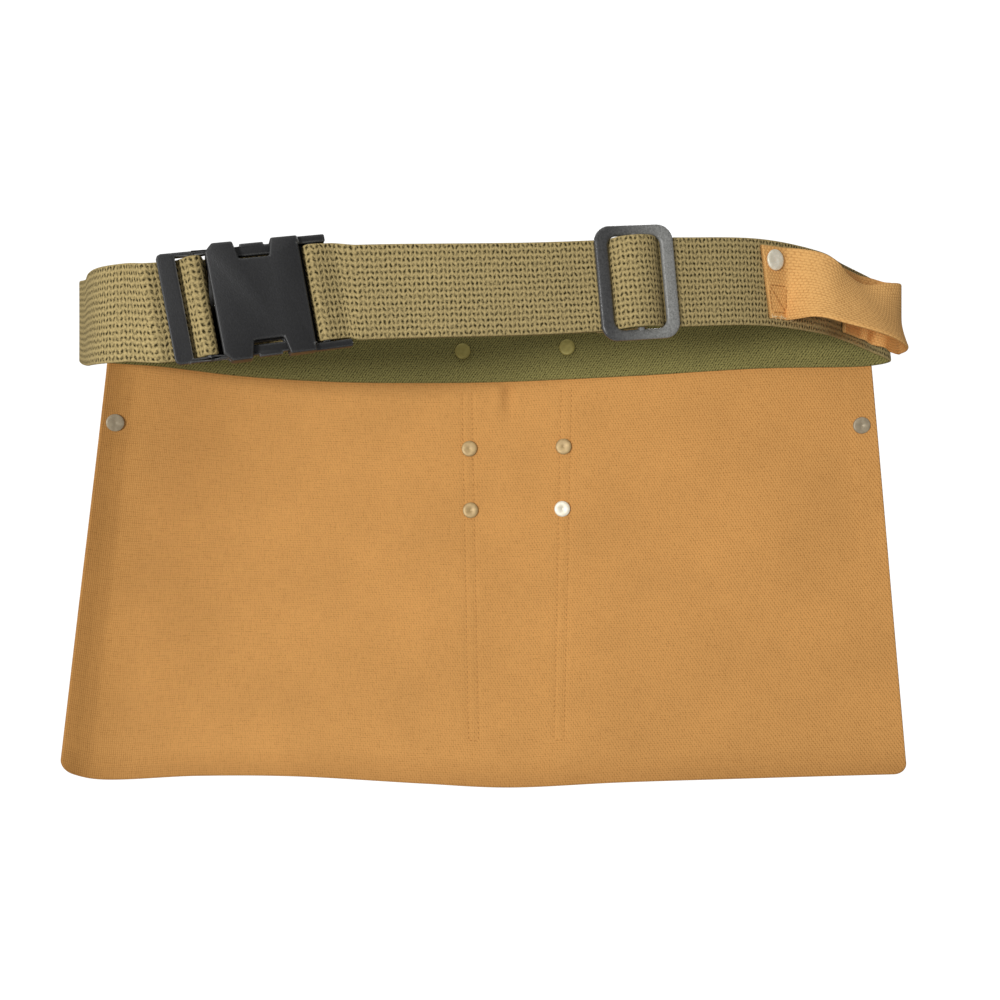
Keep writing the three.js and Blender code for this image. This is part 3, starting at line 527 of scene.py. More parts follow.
class Graph:
    """The nodes of a material or a world, with short ways to make them."""

    def __init__(self, owner, shader):
        owner.use_nodes = True
        self.owner = owner
        self.nodes = owner.node_tree.nodes
        self.links = owner.node_tree.links
        self.shader = self.nodes[shader]

    def set(self, name, value):
        self.put(self.shader.inputs[name], value)

    def put(self, socket, value):
        if isinstance(value, bpy.types.NodeSocket):
            self.links.new(value, socket)
        else:
            socket.default_value = value

    def node(self, kind, **inputs):
        node = self.nodes.new("ShaderNode" + kind)
        for name, value in inputs.items():
            self.put(node.inputs[name], value)
        return node

    def math(self, what, a, b=0.0, c=0.0, clamp=False):
        node = self.node("Math")
        node.operation = what
        node.use_clamp = clamp
        for socket, value in zip(node.inputs, (a, b, c)):
            self.put(socket, value)
        return node.outputs[0]

    def plus(self, a, b, clamp=False):
        return self.math("ADD", a, b, clamp=clamp)

    def minus(self, a, b):
        return self.math("SUBTRACT", a, b)

    def times(self, a, b, clamp=False):
        return self.math("MULTIPLY", a, b, clamp=clamp)

    def times_plus(self, a, b, c, clamp=False):
        return self.math("MULTIPLY_ADD", a, b, c, clamp)

    def share(self, a, b):
        """The part that a is of b, kept between 0 and 1."""
        return self.math("DIVIDE", a, b, clamp=True)

    def noise(self, vector, scale, detail=2.0, rough=0.5):
        node = self.node("TexNoise", Vector=vector, Scale=scale, Detail=detail, Roughness=rough)
        return node.outputs["Fac"]

    def stretched(self, vector, scale):
        return self.node("Mapping", Vector=vector, Scale=scale).outputs[0]

    def ramp(self, fac, stops):
        node = self.node("ValToRGB", Fac=fac)
        elements = node.color_ramp.elements
        elements[0].position, elements[0].color = stops[0]
        elements[1].position, elements[1].color = stops[-1]
        for place, colour in stops[1:-1]:
            elements.new(place).color = colour
        return node.outputs["Color"]

    def blend(self, fac, a, b, how="MIX"):
        node = self.node("Mix")
        node.data_type = "RGBA"
        node.blend_type = how
        self.put(node.inputs[0], fac)
        self.put(node.inputs[6], a)
        self.put(node.inputs[7], b)
        return node.outputs[2]

    def tint(self, base, by):
        return self.blend(1.0, base, by, "MULTIPLY")

    def bump(self, height, strength, depth):
        node = self.node("Bump", Strength=strength, Distance=depth * MM, Height=height)
        self.set("Normal", node.outputs["Normal"])

    def split(self, vector):
        return self.node("SeparateXYZ", Vector=vector).outputs[:2]

    def wave(self, place, pitch):
        """1 on the middle of each yarn and 0 between yarns."""
        return self.math("ABSOLUTE", self.math("SINE", self.times(place, math.pi / (pitch * MM))))

    def cell(self, place, pitch):
        """The number of the yarn at a place."""
        return self.math("FLOOR", self.math("DIVIDE", place, pitch * MM))

    def wandering(self, vector, scale):
        """Places across and along the cloth, with yarns that aren't quite straight."""
        x, y = self.split(vector)
        off = self.times(self.minus(self.noise(vector, scale), 0.5), WANDER * MM)
        return self.plus(x, off), self.plus(y, off)

    def tone(self, base, vector, scale, low, high):
        """The colour made lighter and darker in large soft patches."""
        patches = self.noise(vector, scale, 3.0)
        return self.tint(base, self.ramp(patches, [(0.3, grey(low)), (0.7, grey(high))]))


def material_graph(name, rough, shine=0.5, metallic=0.0):
    g = Graph(bpy.data.materials.new(name), "Principled BSDF")
    g.set("Roughness", rough)
    g.set("Specular IOR Level", shine)
    g.set("Metallic", metallic)
    return g


def woven(name, colour, dark, pitch, strength, dots=0.0, panel=False):
    """Plain weave at a pitch in mm across and along, with round yarn tops in offset rows if it has dots.

    The panel also has a faint twill that grows to the right, and painted shade on its left side and along its
    foot, where the cloth turns away from the light.
    """
    g = material_graph(name, 0.92, 0.12)
    vector = g.node("UVMap").outputs[0]
    x, y = g.wandering(vector, 70.0)
    row = g.cell(y, pitch[1])
    if dots:
        x = g.times_plus(row, pitch[0] * MM / 2, x)
    warp, weft = g.wave(x, pitch[0]), g.wave(y, pitch[1])
    parity = g.math("PINGPONG", g.plus(g.cell(x, pitch[0]), row), 1.0)
    on_top = g.plus(g.times(warp, parity), g.times(weft, g.minus(1.0, parity)))
    crossing = g.times(warp, weft)
    plain = g.times(g.times_plus(on_top, 0.5, 0.5), g.math("POWER", crossing, 0.5))
    height = g.times_plus(crossing, dots, g.times(plain, 1 - dots))
    thick_yarns = [g.noise(g.stretched(vector, by), 1.0) for by in ((90.0, 900.0, 1.0), (900.0, 90.0, 1.0))]
    slub = g.times(g.plus(*thick_yarns), 0.35)
    fibre = g.times(g.noise(vector, 620.0, 3.0, 0.7), 0.55)
    mixed = g.plus(g.times(height, 0.38 + 0.12 * dots), g.plus(slub, fibre), clamp=True)
    if panel:
        from_left, up = g.split(vector)
        twill = g.wave(g.times_plus(y, TWILL["lean"], x), TWILL["pitch"])
        rightwards = g.times(from_left, TWILL["strength"] / (PANEL_WIDTH * MM))
        mixed = g.times_plus(g.minus(twill, TWILL["mean"]), rightwards, mixed, clamp=True)
    base = g.tone(g.ramp(mixed, [(0.3, dark), (0.85, colour)]), vector, 16.0, 0.94, 1.04)
    if panel:
        # painted shade: the left side and the foot are made darker
        base = g.tint(base, g.ramp(g.share(from_left, PANEL_PAINTED_SHADE["side"] * MM), SIDE_PAINTED_SHADE + WHITE))
        from_foot = g.plus(up, PANEL_LENGTH * MM)
        base = g.tint(base, g.ramp(g.share(from_foot, PANEL_PAINTED_SHADE["foot"] * MM), FOOT_PAINTED_SHADE + WHITE))
    g.set("Base Color", base)
    g.bump(g.plus(height, g.times(slub, 0.6)), strength, 0.4)
    return g.owner


def webbing_material(name, colour, dark, column=2.4, row=3.3):
    """Heavy webbing: leaning pits in pairs on its outer face, and a fine diagonal on its inner face, which is
    tinted darker and greener, partly its own tone and partly painted shade.
    """
    g = material_graph(name, 0.9, 0.12)
    vector = g.node("UVMap").outputs[0]
    inner = g.math("GREATER_THAN", g.split(vector)[1], INNER_FACE * MM / 2)
    x, y = g.wandering(vector, 120.0)
    in_row = g.minus(g.math("FRACT", g.times_plus(y, 1 / (row * MM), 0.5)), 0.5)
    mirrored = g.math("PINGPONG", x, column * MM)
    leaning = g.times_plus(in_row, 1.15 * MM, g.minus(mirrored, column * MM / 2))
    across, down = g.wave(leaning, column), g.wave(y, row)
    pit = g.times(g.minus(1.0, across), g.minus(1.0, down))
    pit = g.times(g.math("POWER", pit, 0.72), 2.0, clamp=True)
    strand = g.wave(leaning, column / 2)
    ridge = g.math("MAXIMUM", across, g.times(down, 0.8))
    ridge = g.times_plus(ridge, 0.5, g.times_plus(strand, 0.3, 0.25))
    outer_height = g.times(ridge, g.minus(1.0, pit))
    diagonal = g.wave(g.times_plus(y, 0.7, x), 2.0)
    inner_height = g.times_plus(diagonal, 0.75, g.times_plus(g.wave(y, 1.7), 0.3, -0.05))
    height = g.times_plus(g.minus(inner_height, outer_height), inner, outer_height)
    fibre = g.times_plus(g.noise(vector, 750.0, 3.0, 0.7), 1.9, -0.55)
    mixed = g.times_plus(height, 0.62, g.minus(fibre, 0.1), clamp=True)
    middling = tuple(0.6 * a + 0.4 * b for a, b in zip(colour, dark))
    base = g.ramp(mixed, [(0.2, dark), (0.55, middling), (1.0, colour)])
    base = g.tone(base, vector, 30.0, 0.95, 1.05)
    # inner face tinted darker and greener: partly its own tone, partly painted shade
    g.set("Base Color", g.blend(inner, base, g.tint(base, INNER_TONE_AND_PAINTED_SHADE)))
    g.bump(height, 0.7, 0.6)
    return g.owner


def plastic(name, colour, right_painted_reflection, rim_wear_and_highlight, rough, grain):
    """Moulded plastic, lighter along its edges, partly from wear and partly as a painted highlight, and on
    the slider painted lighter from left to right as a painted reflection.
    """
    g = material_graph(name, rough)
    place = g.node("TexCoord").outputs["Object"]
    wear = g.noise(place, 60.0, 3.0)
    bevel = g.node("Bevel", Radius=1.5 * MM)
    bevel.samples = 6
    likeness = g.node("VectorMath")
    likeness.operation = "DOT_PRODUCT"
    g.put(likeness.inputs[0], bevel.outputs[0])
    g.put(likeness.inputs[1], g.node("NewGeometry").outputs["True Normal"])
    # lighter rim along the edges: partly wear, partly painted highlight
    edge = g.times(g.minus(0.98, likeness.outputs["Value"]), 6.0, clamp=True)
    edge = g.times(edge, g.times_plus(wear, 1.4, -0.1, clamp=True))
    # painted reflection: the slider is made lighter from its left to its right
    from_left = g.minus(g.split(place)[0], (SLIDER_X - SLIDER_OPEN / 2) * MM)
    body = g.ramp(g.share(from_left, SLIDER_OPEN * MM), [(0.0, colour), (1.0, right_painted_reflection)])
    grains = g.ramp(g.noise(place, 1000.0, 3.0, 0.7), [(0.3, grey(0.62)), (0.7, grey(1.5))])
    g.set("Base Color", g.blend(edge, g.tint(body, grains), rim_wear_and_highlight))
    g.set("Roughness", g.times_plus(wear, 0.2, rough - 0.1))
    g.bump(g.noise(place, 1500.0), grain, 0.3)
    return g.owner


def metal(name, colour, worn):
    """Dull metal in two tones."""
    g = material_graph(name, 0.45, 0.4, 0.2)
    patch = g.noise(g.node("TexCoord").outputs["Object"], 330.0, 3.0)
    g.set("Base Color", g.ramp(patch, [(0.38, colour), (0.62, worn)]))
    g.bump(patch, 0.12, 0.3)
    return g.owner


duck = {"colour": srgb(222, 163, 94), "dark": srgb(160, 108, 54), "pitch": (1.3, 1.65), "strength": 0.5}
canvas = woven("canvas", **duck)
# the back panel's canvas, with painted shade on its left side and foot
canvas_back = woven("canvas_back", panel=True, **duck)
loop_canvas = woven("loop_canvas", srgb(236, 182, 112), srgb(160, 104, 50), (2.6, 1.7), 0.6, dots=0.9)
webbing = webbing_material("webbing", srgb(189, 168, 116), srgb(46, 40, 17))
# the lighter colour of the plastic's edges is partly wear and partly painted highlight
black, worn_and_highlit_rim = srgb(28, 28, 29), srgb(150, 150, 148)
plastic_black = plastic("buckle", black, black, worn_and_highlit_rim, 0.5, 0.3)
# the slider's second colour is a painted reflection on its right side
plastic_gloss = plastic("slider", srgb(64, 64, 64), srgb(132, 132, 129), worn_and_highlit_rim, 0.34, 0.6)
brass = metal("rivet_dull", srgb(172, 144, 98), srgb(190, 162, 112))
# brighter copy of the rivet metal: painted reflection
painted_reflection_metal = metal("rivet_painted_reflection", srgb(230, 222, 200), srgb(246, 240, 222))
# greyer copy of the rivet metal: painted grey reflection
painted_grey_reflection_metal = metal("rivet_painted_grey_reflection", srgb(156, 142, 118), srgb(174, 160, 134))
# darker, greener copy of the rivet metal: painted shade of the far belt
painted_shade_metal = metal("rivet_painted_shade", srgb(156, 144, 76), srgb(170, 158, 88))
thread = woven("thread", srgb(196, 142, 82), srgb(150, 102, 54), (0.6, 0.6), 0.3)
cut_yarn = woven("cut_yarn", srgb(238, 214, 170), srgb(186, 148, 92), (0.6, 0.6), 0.3)


# Belt


def stops(place, table, along=0.0, out=0.0):
    """Points of the belt's path, with their up, at (along, out) pairs from a place."""
    return [(in_frame(place, along + x, out + y), place[3]) for x, y in table]


def wrap(place, along, radius, start, end):
    """The path round a bar, between two angles in degrees."""
    angles = np.radians(np.linspace(start, end, max(2, int(abs(end - start) / WRAP_DEGREES) + 1)))
    return stops(place, [(radius * math.cos(a), radius * math.sin(a)) for a in angles], along)


def along_loop(from_u, to_u, out):
    """The path beside the loop's line, at a distance out."""
    u = np.linspace(from_u, to_u, max(2, int(abs(to_u - from_u) * loop.length / BELT_STEP)))
    place = frame_on_loop(u)
    return list(zip(in_frame(place, 0, out), place[3]))


def bulge(high):
    """The outer layer's rise between the slider's uprights."""
    for share in np.linspace(-1, 1, BULGE["points"]):
        rise = (1 - share * share) ** BULGE["power"] * (high - BULGE["lift"])
        yield share * (SLIDER_OPEN / 2 - BULGE["inset"]), BULGE["lift"] + rise


def belt_path():
    """From the free end behind the slider to the tail behind the buckle."""
    s, b = slider_frame, buckle_frame
    edge, under = SLIDER_OPEN / 2, -UNDER_SLIDER
    inner, bar = (radius + GAP + HALF_BELT for radius in (SLIDER_BAR, BAR))
    beyond = (edge + STRAND_RUN) / loop.length
    strand_from, strand_to = buckle_u + (FEMALE_BAR + STRAND_RUN) / loop.length, slider_u - beyond
    male_u = buckle_u + 1 - (STRAND_RUN - MALE_LEFT) / loop.length
    tail = -FEMALE_THICK / 2 - GAP - HALF_BELT
    path = stops(s, FREE_END, -edge, under - 2 * LAYER)
    path += wrap(s, 0, inner, -115, 165)
    path += stops(s, INNER_EXIT, -edge, under - LAYER)
    path += along_loop(strand_to, strand_from, -LAYER)
    path += stops(b, FEMALE_ENTRY, FEMALE_BAR, -LAYER)
    path += wrap(b, FEMALE_BAR, bar, 285, 75)
    path += stops(b, FEMALE_EXIT, FEMALE_BAR)
    path += along_loop(strand_from, strand_to, 0)
    path += stops(s, OUTER_ENTRY, -edge, under)
    path += stops(s, bulge(inner + LAYER - under), 0, under)
    path += stops(s, OUTER_EXIT, edge, under)
    path += along_loop(slider_u + beyond, male_u, 0)
    path += stops(b, MALE_ENTRY, MALE_LEFT)
    path += stops(b, [(MALE_LEFT, -bar), (MALE_BAR_RIGHT + MALE_PAST, -bar)])
    path += wrap(b, MALE_BAR, bar, 165, 0)
    path += stops(b, TAIL_FALL, MALE_BAR + bar)
    path += stops(b, TAIL_START, MALE_BAR + bar, tail)
    return path + stops(b, TAIL, 0, tail)


belt_points, belt_ups = evened(belt_path(), STRAP_STEP, 3)
belt = sweep("belt_webbing", belt_points, belt_ups, strap_profile(BELT_WIDTH, BELT_THICK), webbing)
belongs(belt, "webbing", "belt")


# Canvas

BELT_BAND = (PANEL_TOP + BELT_WIDTH / 2) / PANEL_LENGTH
FOOT_V = 1 - FOOT_INSET / PANEL_HEIGHT
ON_PANEL = CANVAS + GAP


def panel_point(u, v):
    """A point on the panel's inner face: u from its left to its right side, v from its top to its hem."""
    u, v = np.broadcast_arrays(np.asarray(u, float), np.asarray(v, float))
    place = frame_on_loop(mix(panel_left_u, panel_right_u, u))
    fallen = np.minimum(v / BELT_BAND, 1) * (PANEL_TOP + BELT_WIDTH / 2)
    top = in_frame(place, 0, HALF_BELT + GAP + PANEL_ROOM, PANEL_TOP - fallen)
    down = np.clip((v - BELT_BAND) / (1 - BELT_BAND), 0, 1)[..., None]
    return top * (1 - down) + hem_curve.at(np.clip(u, 0, 1)) * down


def outwards_of(surface, u, v):
    """The direction away from the wearer, from places a little apart on the surface."""
    d = NEARBY
    across = surface(np.minimum(1, u + d), v) - surface(np.maximum(0, u - d), v)
    down = surface(u, np.minimum(1, v + d)) - surface(u, np.maximum(0, v - d))
    return unit(np.cross(across, down))


def raised(surface, u, v, height):
    return surface(u, v) + outwards_of(surface, u, v) * np.asarray(height, float)[..., None]


def solve(wanted, falling):
    """The place from 0 to 1 where a falling function has a value."""
    low, high = 0.0, 1.0
    for _ in range(34):
        middle = (low + high) / 2
        low, high = (middle, high) if falling(middle) > wanted else (low, middle)
    return (low + high) / 2


def panel_u(x, v):
    return solve(-x, lambda u: -panel_point(u, v)[0])


def panel_v(u, z):
    return solve(z, lambda v: panel_point(u, v)[2])


def seam_u(side, v, away=0.0):
    """Where the pouch's inner edge crosses v, moved away from the middle of the apron."""
    outwards = -1 if side == "left" else 1
    return panel_u(SEAM_X[side] + outwards * (away - SEAM_TAPER * v), v)


def ordered(side, edge, seam):
    return (edge, seam) if side == "left" else (seam, edge)


def seam_line(side, away):
    """Places on the panel along a stitched line, from the belt to near the hem."""
    low, high = panel_v(0.5, SEAM_TOP_Z), panel_v(0.5, SEAM_FOOT_Z)
    return [(seam_u(side, v, away), v) for v in np.linspace(low, high, 60)]


seams = {(side, away): seam_line(side, away) for side in SIDES for away in SEAM_LINES}


def panel_relief(u, v):
    """How far the panel's inner face stands towards the wearer: hems, grooves, a crease and waves."""
    x, z = u * PANEL_WIDTH, panel_point(u, v)[..., 2]
    side, foot = np.minimum(x, PANEL_WIDTH - x), (1 - v) * PANEL_LENGTH
    hems = [
        hem["high"] * (1 - smooth((border - hem["wide"]) / hem["fade"]))
        for hem, border in ((SIDE_HEM, side), (FOOT_HEM, foot))
    ]
    relief = np.maximum(*hems) * smooth((v - BELT_BAND) / HEM_START)
    for line in seams.values():
        us, vs = np.array(line).T
        away = (u - np.interp(v, vs, us)) * PANEL_WIDTH
        inside = (v >= vs[0]) & (v <= vs[-1])
        relief = relief - GROOVE["deep"] * np.exp(-((away / GROOVE["wide"]) ** 2)) * inside
    crease_x = (u - panel_u(CREASE["x"], BELT_BAND)) * PANEL_WIDTH
    fade = smooth((z - CREASE["to_z"]) / (CREASE["from_z"] - CREASE["to_z"]))
    fade = fade * smooth((v - BELT_BAND) / CREASE["start"])
    ridge = RIDGE["share"] * np.exp(-(((crease_x + RIDGE["beside"]) / RIDGE["wide"]) ** 2))
    dent = np.exp(-((crease_x / CREASE["wide"]) ** 2)) - ridge
    sway = WAVES["sway"] * np.sin(z / WAVES["sway_down"])
    wave = WAVES["high"] * np.sin(x / WAVES["across"] + sway) * np.sin(z / WAVES["down"])
    return relief - CREASE["deep"] * dent * fade + wave * smooth((v - BELT_BAND) / WAVES["start"])


def round_corners(u, v):
    """Places on the panel moved so that its two lower corners are round."""
    side, foot = np.minimum(u, 1 - u) * PANEL_WIDTH, (1 - v) * PANEL_LENGTH
    in_x, in_y = np.maximum(PANEL_CORNER - side, 0), np.maximum(PANEL_CORNER - foot, 0)
    pull = 1 - np.maximum(in_x, in_y) / np.maximum(np.hypot(in_x, in_y), 1e-9)
    pull = np.where((in_x > 0) & (in_y > 0), pull, 0)
    return u + np.where(u < 0.5, 1, -1) * in_x * pull / PANEL_WIDTH, v - in_y * pull / PANEL_LENGTH


def dressed_panel(u, v):
    u, v = round_corners(u, v)
    return raised(panel_point, u, v, -panel_relief(u, v))


def across_lobes(a, flange, lobes):
    """How far a pocket bulges across, as a share of its depth, in one or more lobes between its flanges."""
    inside = np.clip((a - flange) / (1 - 2 * flange), 0, 1)
    lobe = (inside * lobes) % 1
    return np.where((inside <= 0) | (inside >= 1), 0, 1 - np.abs(2 * lobe - 1) ** LOBE_POWER)


def down_fall(b, flange):
    """How far it bulges down its height: fullest below the mouth, and flat at the foot."""
    inside = np.clip(b / (1 - flange), 0, 1)
    return (0.86 + 0.14 * np.sin(np.pi * np.minimum(1, inside * 1.5))) * (1 - inside**4)


def pocket(base, left, right, mouth, foot, sag, lift, depth, width, height, lobes=1, flange=FLANGE):
    """A pocket on a surface: its sides in u at its top and bottom, and its mouth and foot in v."""
    border, floor = flange / width, flange / height / FLOOR_SHARE

    def surface(a, b):
        a, b = np.broadcast_arrays(np.asarray(a, float), np.asarray(b, float))
        v = mix(mix(*mouth, a) + sag * np.sin(np.pi * a), foot, b)
        u = mix(mix(*left, b), mix(*right, b), a)
        return raised(base, u, v, lift + depth * across_lobes(a, border, lobes) * down_fall(b, floor))

    return surface


def in_from_edge(side, inset):
    share = inset / PANEL_WIDTH
    return share if side == "left" else 1 - share


def large_pocket(side):
    edge = in_from_edge(side, EDGE_INSET)
    mouth_seam, mouth_edge = panel_v(0.5, MOUTH_Z["seam"]), panel_v(edge, MOUTH_Z["edge"])
    seam = (seam_u(side, mouth_seam), seam_u(side, FOOT_V))
    return pocket(
        panel_point,
        *ordered(side, (edge, edge), seam),
        ordered(side, mouth_edge, mouth_seam),
        foot=FOOT_V,
        sag=MOUTH_SAG / PANEL_HEIGHT,
        lift=ON_PANEL,
        depth=POUCH_DEPTH,
        width=POUCH_WIDTH,
        height=PANEL_HEIGHT + MOUTH_Z["seam"],
    )


pouches = {side: large_pocket(side) for side in SIDES}


def pouch_share(side, a, z):
    return solve(z, lambda b: pouches[side](a, b)[2])


def small_pocket(side):
    edge, seam = SMALL_ON_POUCH["edge"], SMALL_ON_POUCH["seam"]
    if side == "right":
        edge, seam = 1 - edge, 1 - seam
    mouth_edge = pouch_share(side, edge, SMALL_MOUTH_Z["edge"])
    mouth_seam = pouch_share(side, seam, SMALL_MOUTH_Z["seam"])
    return pocket(
        pouches[side],
        *ordered(side, (edge, edge), (seam, seam)),
        ordered(side, mouth_edge, mouth_seam),
        foot=SMALL_ON_POUCH["foot"],
        sag=SMALL_ON_POUCH["sag"],
        lift=CANVAS + 2 * GAP,
        depth=SMALL_DEPTH,
        width=POUCH_WIDTH,
        height=PANEL_HEIGHT + SMALL_MOUTH_Z["seam"],
        lobes=2,
    )


def centre_pocket():
    mouth = panel_v(0.5, CENTRE_MOUTH_Z)
    room = SIDE_ROOM / PANEL_WIDTH
    return pocket(
        panel_point,
        (seam_u("left", mouth) + room, seam_u("left", FOOT_V) + room),
        (seam_u("right", mouth) - room, seam_u("right", FOOT_V) - room),
        (mouth, mouth),
        foot=FOOT_V,
        sag=0,
        lift=ON_PANEL,
        depth=CENTRE_DEPTH,
        width=SEAM_X["right"] - SEAM_X["left"],
        height=PANEL_HEIGHT + CENTRE_MOUTH_Z,
        flange=CENTRE_FLANGE,
    )


def lengths_uv(grid):
    """Texture places that follow the cloth's own lengths across and down."""
    across = np.linalg.norm(np.diff(grid, axis=1), axis=-1).mean(0)
    down = np.linalg.norm(np.diff(grid, axis=0), axis=-1).mean(1)
    x = np.concatenate([[0], np.cumsum(across)])
    y = np.concatenate([[0], np.cumsum(down)])
    return np.stack(np.meshgrid(x, -y), -1), (x[-1], y[-1])


def lay_cloth(name, surface, kind, material, node, rests_on):
    """A sheet of canvas on a surface; a pocket's mouth has a thicker, folded hem."""
    across, down = CELLS[kind]
    a, b = np.meshgrid(np.linspace(0, 1, across), np.linspace(0, 1, down))
    grid = surface(a, b)
    uv, (width, length) = lengths_uv(grid)
    thick = np.full(a.shape, CANVAS)
    if kind != "panel":
        thick = thick + HEM_EXTRA * np.clip((HEM_BAND + uv[..., 1]) / HEM_FADE, 0, 1)
    made = belongs(cloth(name, grid, thick, uv, material), "canvas", node)


def mouth_stitches(surface, kind):
    """Two rows of stitches along a pocket's mouth, on its outer face."""
    for b in MOUTH_ROWS[kind]:
        a = np.linspace(0.01, 0.99, 160)
        line = surface(a, np.full_like(a, b))
        outs = outwards_of(surface, a, np.full_like(a, b))
        yield from stitches_along(line, outs, STITCH["long"], STITCH["pitch"], CANVAS + HEM_EXTRA)


outer_stitches = []
lay_cloth("apron_back", dressed_panel, "panel", canvas_back, "back_panel", "belt_webbing")
for side in SIDES:
    pouch, pouch_name = pouches[side], f"large_pocket_{side}"
    lay_cloth(pouch_name, pouch, "pouch", canvas, f"pouch_{side}", "apron_back")
    small = small_pocket(side)
    lay_cloth(f"front_pocket_{side}", small, "small", canvas, f"small_pocket_{side}", pouch_name)
    outer_stitches += [*mouth_stitches(pouch, "pouch"), *mouth_stitches(small, "small")]
centre = centre_pocket()
lay_cloth("middle_pocket", centre, "centre", canvas, "centre_pocket", "apron_back")
outer_stitches += mouth_stitches(centre, "centre")


def on_wearer_side(u, v, pitch):
    """Stitches on the panel's inner face."""
    outs = -outwards_of(panel_point, u, v)
    return stitches_along(dressed_panel(u, v), outs, STITCH["long"], pitch, STITCH["lift"])


def panel_stitches():
    """The double seams as seen on the wearer's side, closed at the foot."""
    for side in SIDES:
        for away in SEAM_LINES:
            yield from on_wearer_side(*np.array(seams[side, away]).T, STITCH["pitch"])
        ends = [seams[side, away][-1] for away in SEAM_LINES]
        u = np.linspace(ends[0][0], ends[1][0], 6)
        v = np.full_like(u, ends[0][1] + SEAM_END["below"])
        yield from on_wearer_side(u, v, SEAM_END["pitch"])


stitch_shape = bead(STITCH["long"], STITCH["thick"])
belongs(many("seam_stitches", stitch_shape, panel_stitches(), thread), "canvas")
belongs(many("pocket_stitches", stitch_shape, outer_stitches, thread), "canvas")


# Tool loop

loop_clear = HALF_BELT + GAP + LOOP_THICK / 2


def on_belt(span, out):
    places = [frame_on_loop(loop_at_x(x)) for x in np.linspace(*span, 8)]
    return [(in_frame(place, 0, out), place[3]) for place in places]


def tool_loop_path():
    """From the sewn end along the belt, out in a leaning bend, and back to the belt."""
    sewn, back = on_belt(LOOP_SEWN_X, loop_clear), on_belt(LOOP_RETURN_X, loop_clear + RETURN_ROOM)
    free = Spline([sewn[-1][0], *scaled(LOOP_FREE, BELT_WIDTH), back[0][0]], False)
    middle = []
    for t in np.linspace(0, 1, 90)[1:-1]:
        a = free.along(t)
        lean = -math.sin(math.pi * min(1, t / LOOP_LEAN["span"])) * math.radians(LOOP_LEAN["degrees"])
        level = unit(np.array([0, 0, 1.0]) - a * a[2])
        turned = Matrix.Rotation(lean, 3, Vector(a)) @ Vector(level)
        middle.append((free.at(t), np.array(turned)))
    return sewn + middle + back


loop_points, loop_ups = evened(tool_loop_path(), STRAP_STEP, 16)
strip = strap_profile(LOOP_STRIP, LOOP_THICK)
tool_loop = sweep("tool_loop_strip", loop_points, loop_ups, strip, loop_canvas, LOOP_SLANT)
belongs(tool_loop, "loop_canvas", "tool_loop")
loop_flat = (round(float(run_along(loop_points)[-1]) * MM, 3), LOOP_STRIP * MM)


def on_loop_strip(along, up):
    """A point on the outer face of the sewn end, and the direction out."""
    place = frame_on_loop(loop_at_x(LOOP_SEWN_X[0] + along))
    return in_frame(place, 0, loop_clear + LOOP_THICK / 2, up), place[2]


def box_stitches():
    """The box with its diagonal, on the sewn end."""
    for (a0, w0), (a1, w1) in zip(BOX, BOX[1:]):
        both = [on_loop_strip(mix(a0, a1, t), mix(w0, w1, t)) for t in np.linspace(0, 1, 8)]
        points, outs = (np.array(side) for side in zip(*both))
        yield from stitches_along(points, outs, BOX_STITCH["long"], BOX_STITCH["pitch"], BOX_STITCH["lift"])


box_stitch = bead(BOX_STITCH["long"], BOX_STITCH["thick"])
belongs(many("loop_stitches", box_stitch, box_stitches(), thread), "loop_canvas")


def frays():
    """Short cut yarns at the lower corner of the sewn end."""
    (along, run), (up, rise) = FRAY["along"], FRAY["up"]
    for _ in range(FRAY["count"]):
        origin, out = on_loop_strip(along + run * rng.random(), up + rise * rng.random())
        x = unit(np.array([rng.normal(0.4, 0.7), rng.normal(0, 0.3), -abs(rng.normal(0.3, 0.5))]))
        y = unit(np.cross(out, x))
        yield origin, x, y, np.cross(x, y)


belongs(many("loop_frays", bead(FRAY["long"], FRAY["thick"]), frays(), cut_yarn), "loop_canvas")


# Rivets


def rivet_shape(stack, dimple):
    """A cap below the cloth with a rim, a shallow dish and a dimple, a shank, and a washer above it."""
    c, w, top, low, high = RIVET["cap"], RIVET["back"], stack + GAP, -RIVET["clear"], RIVET["dome"]
    cap = [(0.26, 1), (0.7, 0.99), (0.88, 0.95), (0.97, 0.8), (1, 0.45), (0.97, 0)]
    washer = [(0.97, 0), (1, 0.3), (0.8, 0.95), (0.3, 0.8), (0, 0.8)]
    dish = [(0, low - high + dimple), (c * 0.12, low - high + dimple * 0.8)]
    shank = [(RIVET["shank"], low + 0.02), (RIVET["shank"], top)]
    cap = [(c * wide, low - high * down) for wide, down in cap]
    return lathe(dish + cap + shank + [(w * wide, top + up) for wide, up in washer])


def rivet_place(u, v, out=0.0):
    """A frame on the panel's inner face, moved out from the wearer."""
    n = outwards_of(panel_point, u, v)
    w = unit(np.array([0, 0, 1.0]) - n * n[2])
    return panel_point(u, v) + n * out, np.cross(w, n), w, n


def seam_rivet(side, row):
    """The place of a rivet beside the double seam."""
    v = panel_v(0.5, RIVET_Z[row])
    return rivet_place(seam_u(side, v, SEAM_TO_RIVET), v)


def set_rivet(name, place, stack, material, dimple):
    """A rivet through layers that are together as thick as the stack."""
    belongs(many(f"{name}_cap", rivet_shape(stack, dimple), [place], material), "rivet", name)


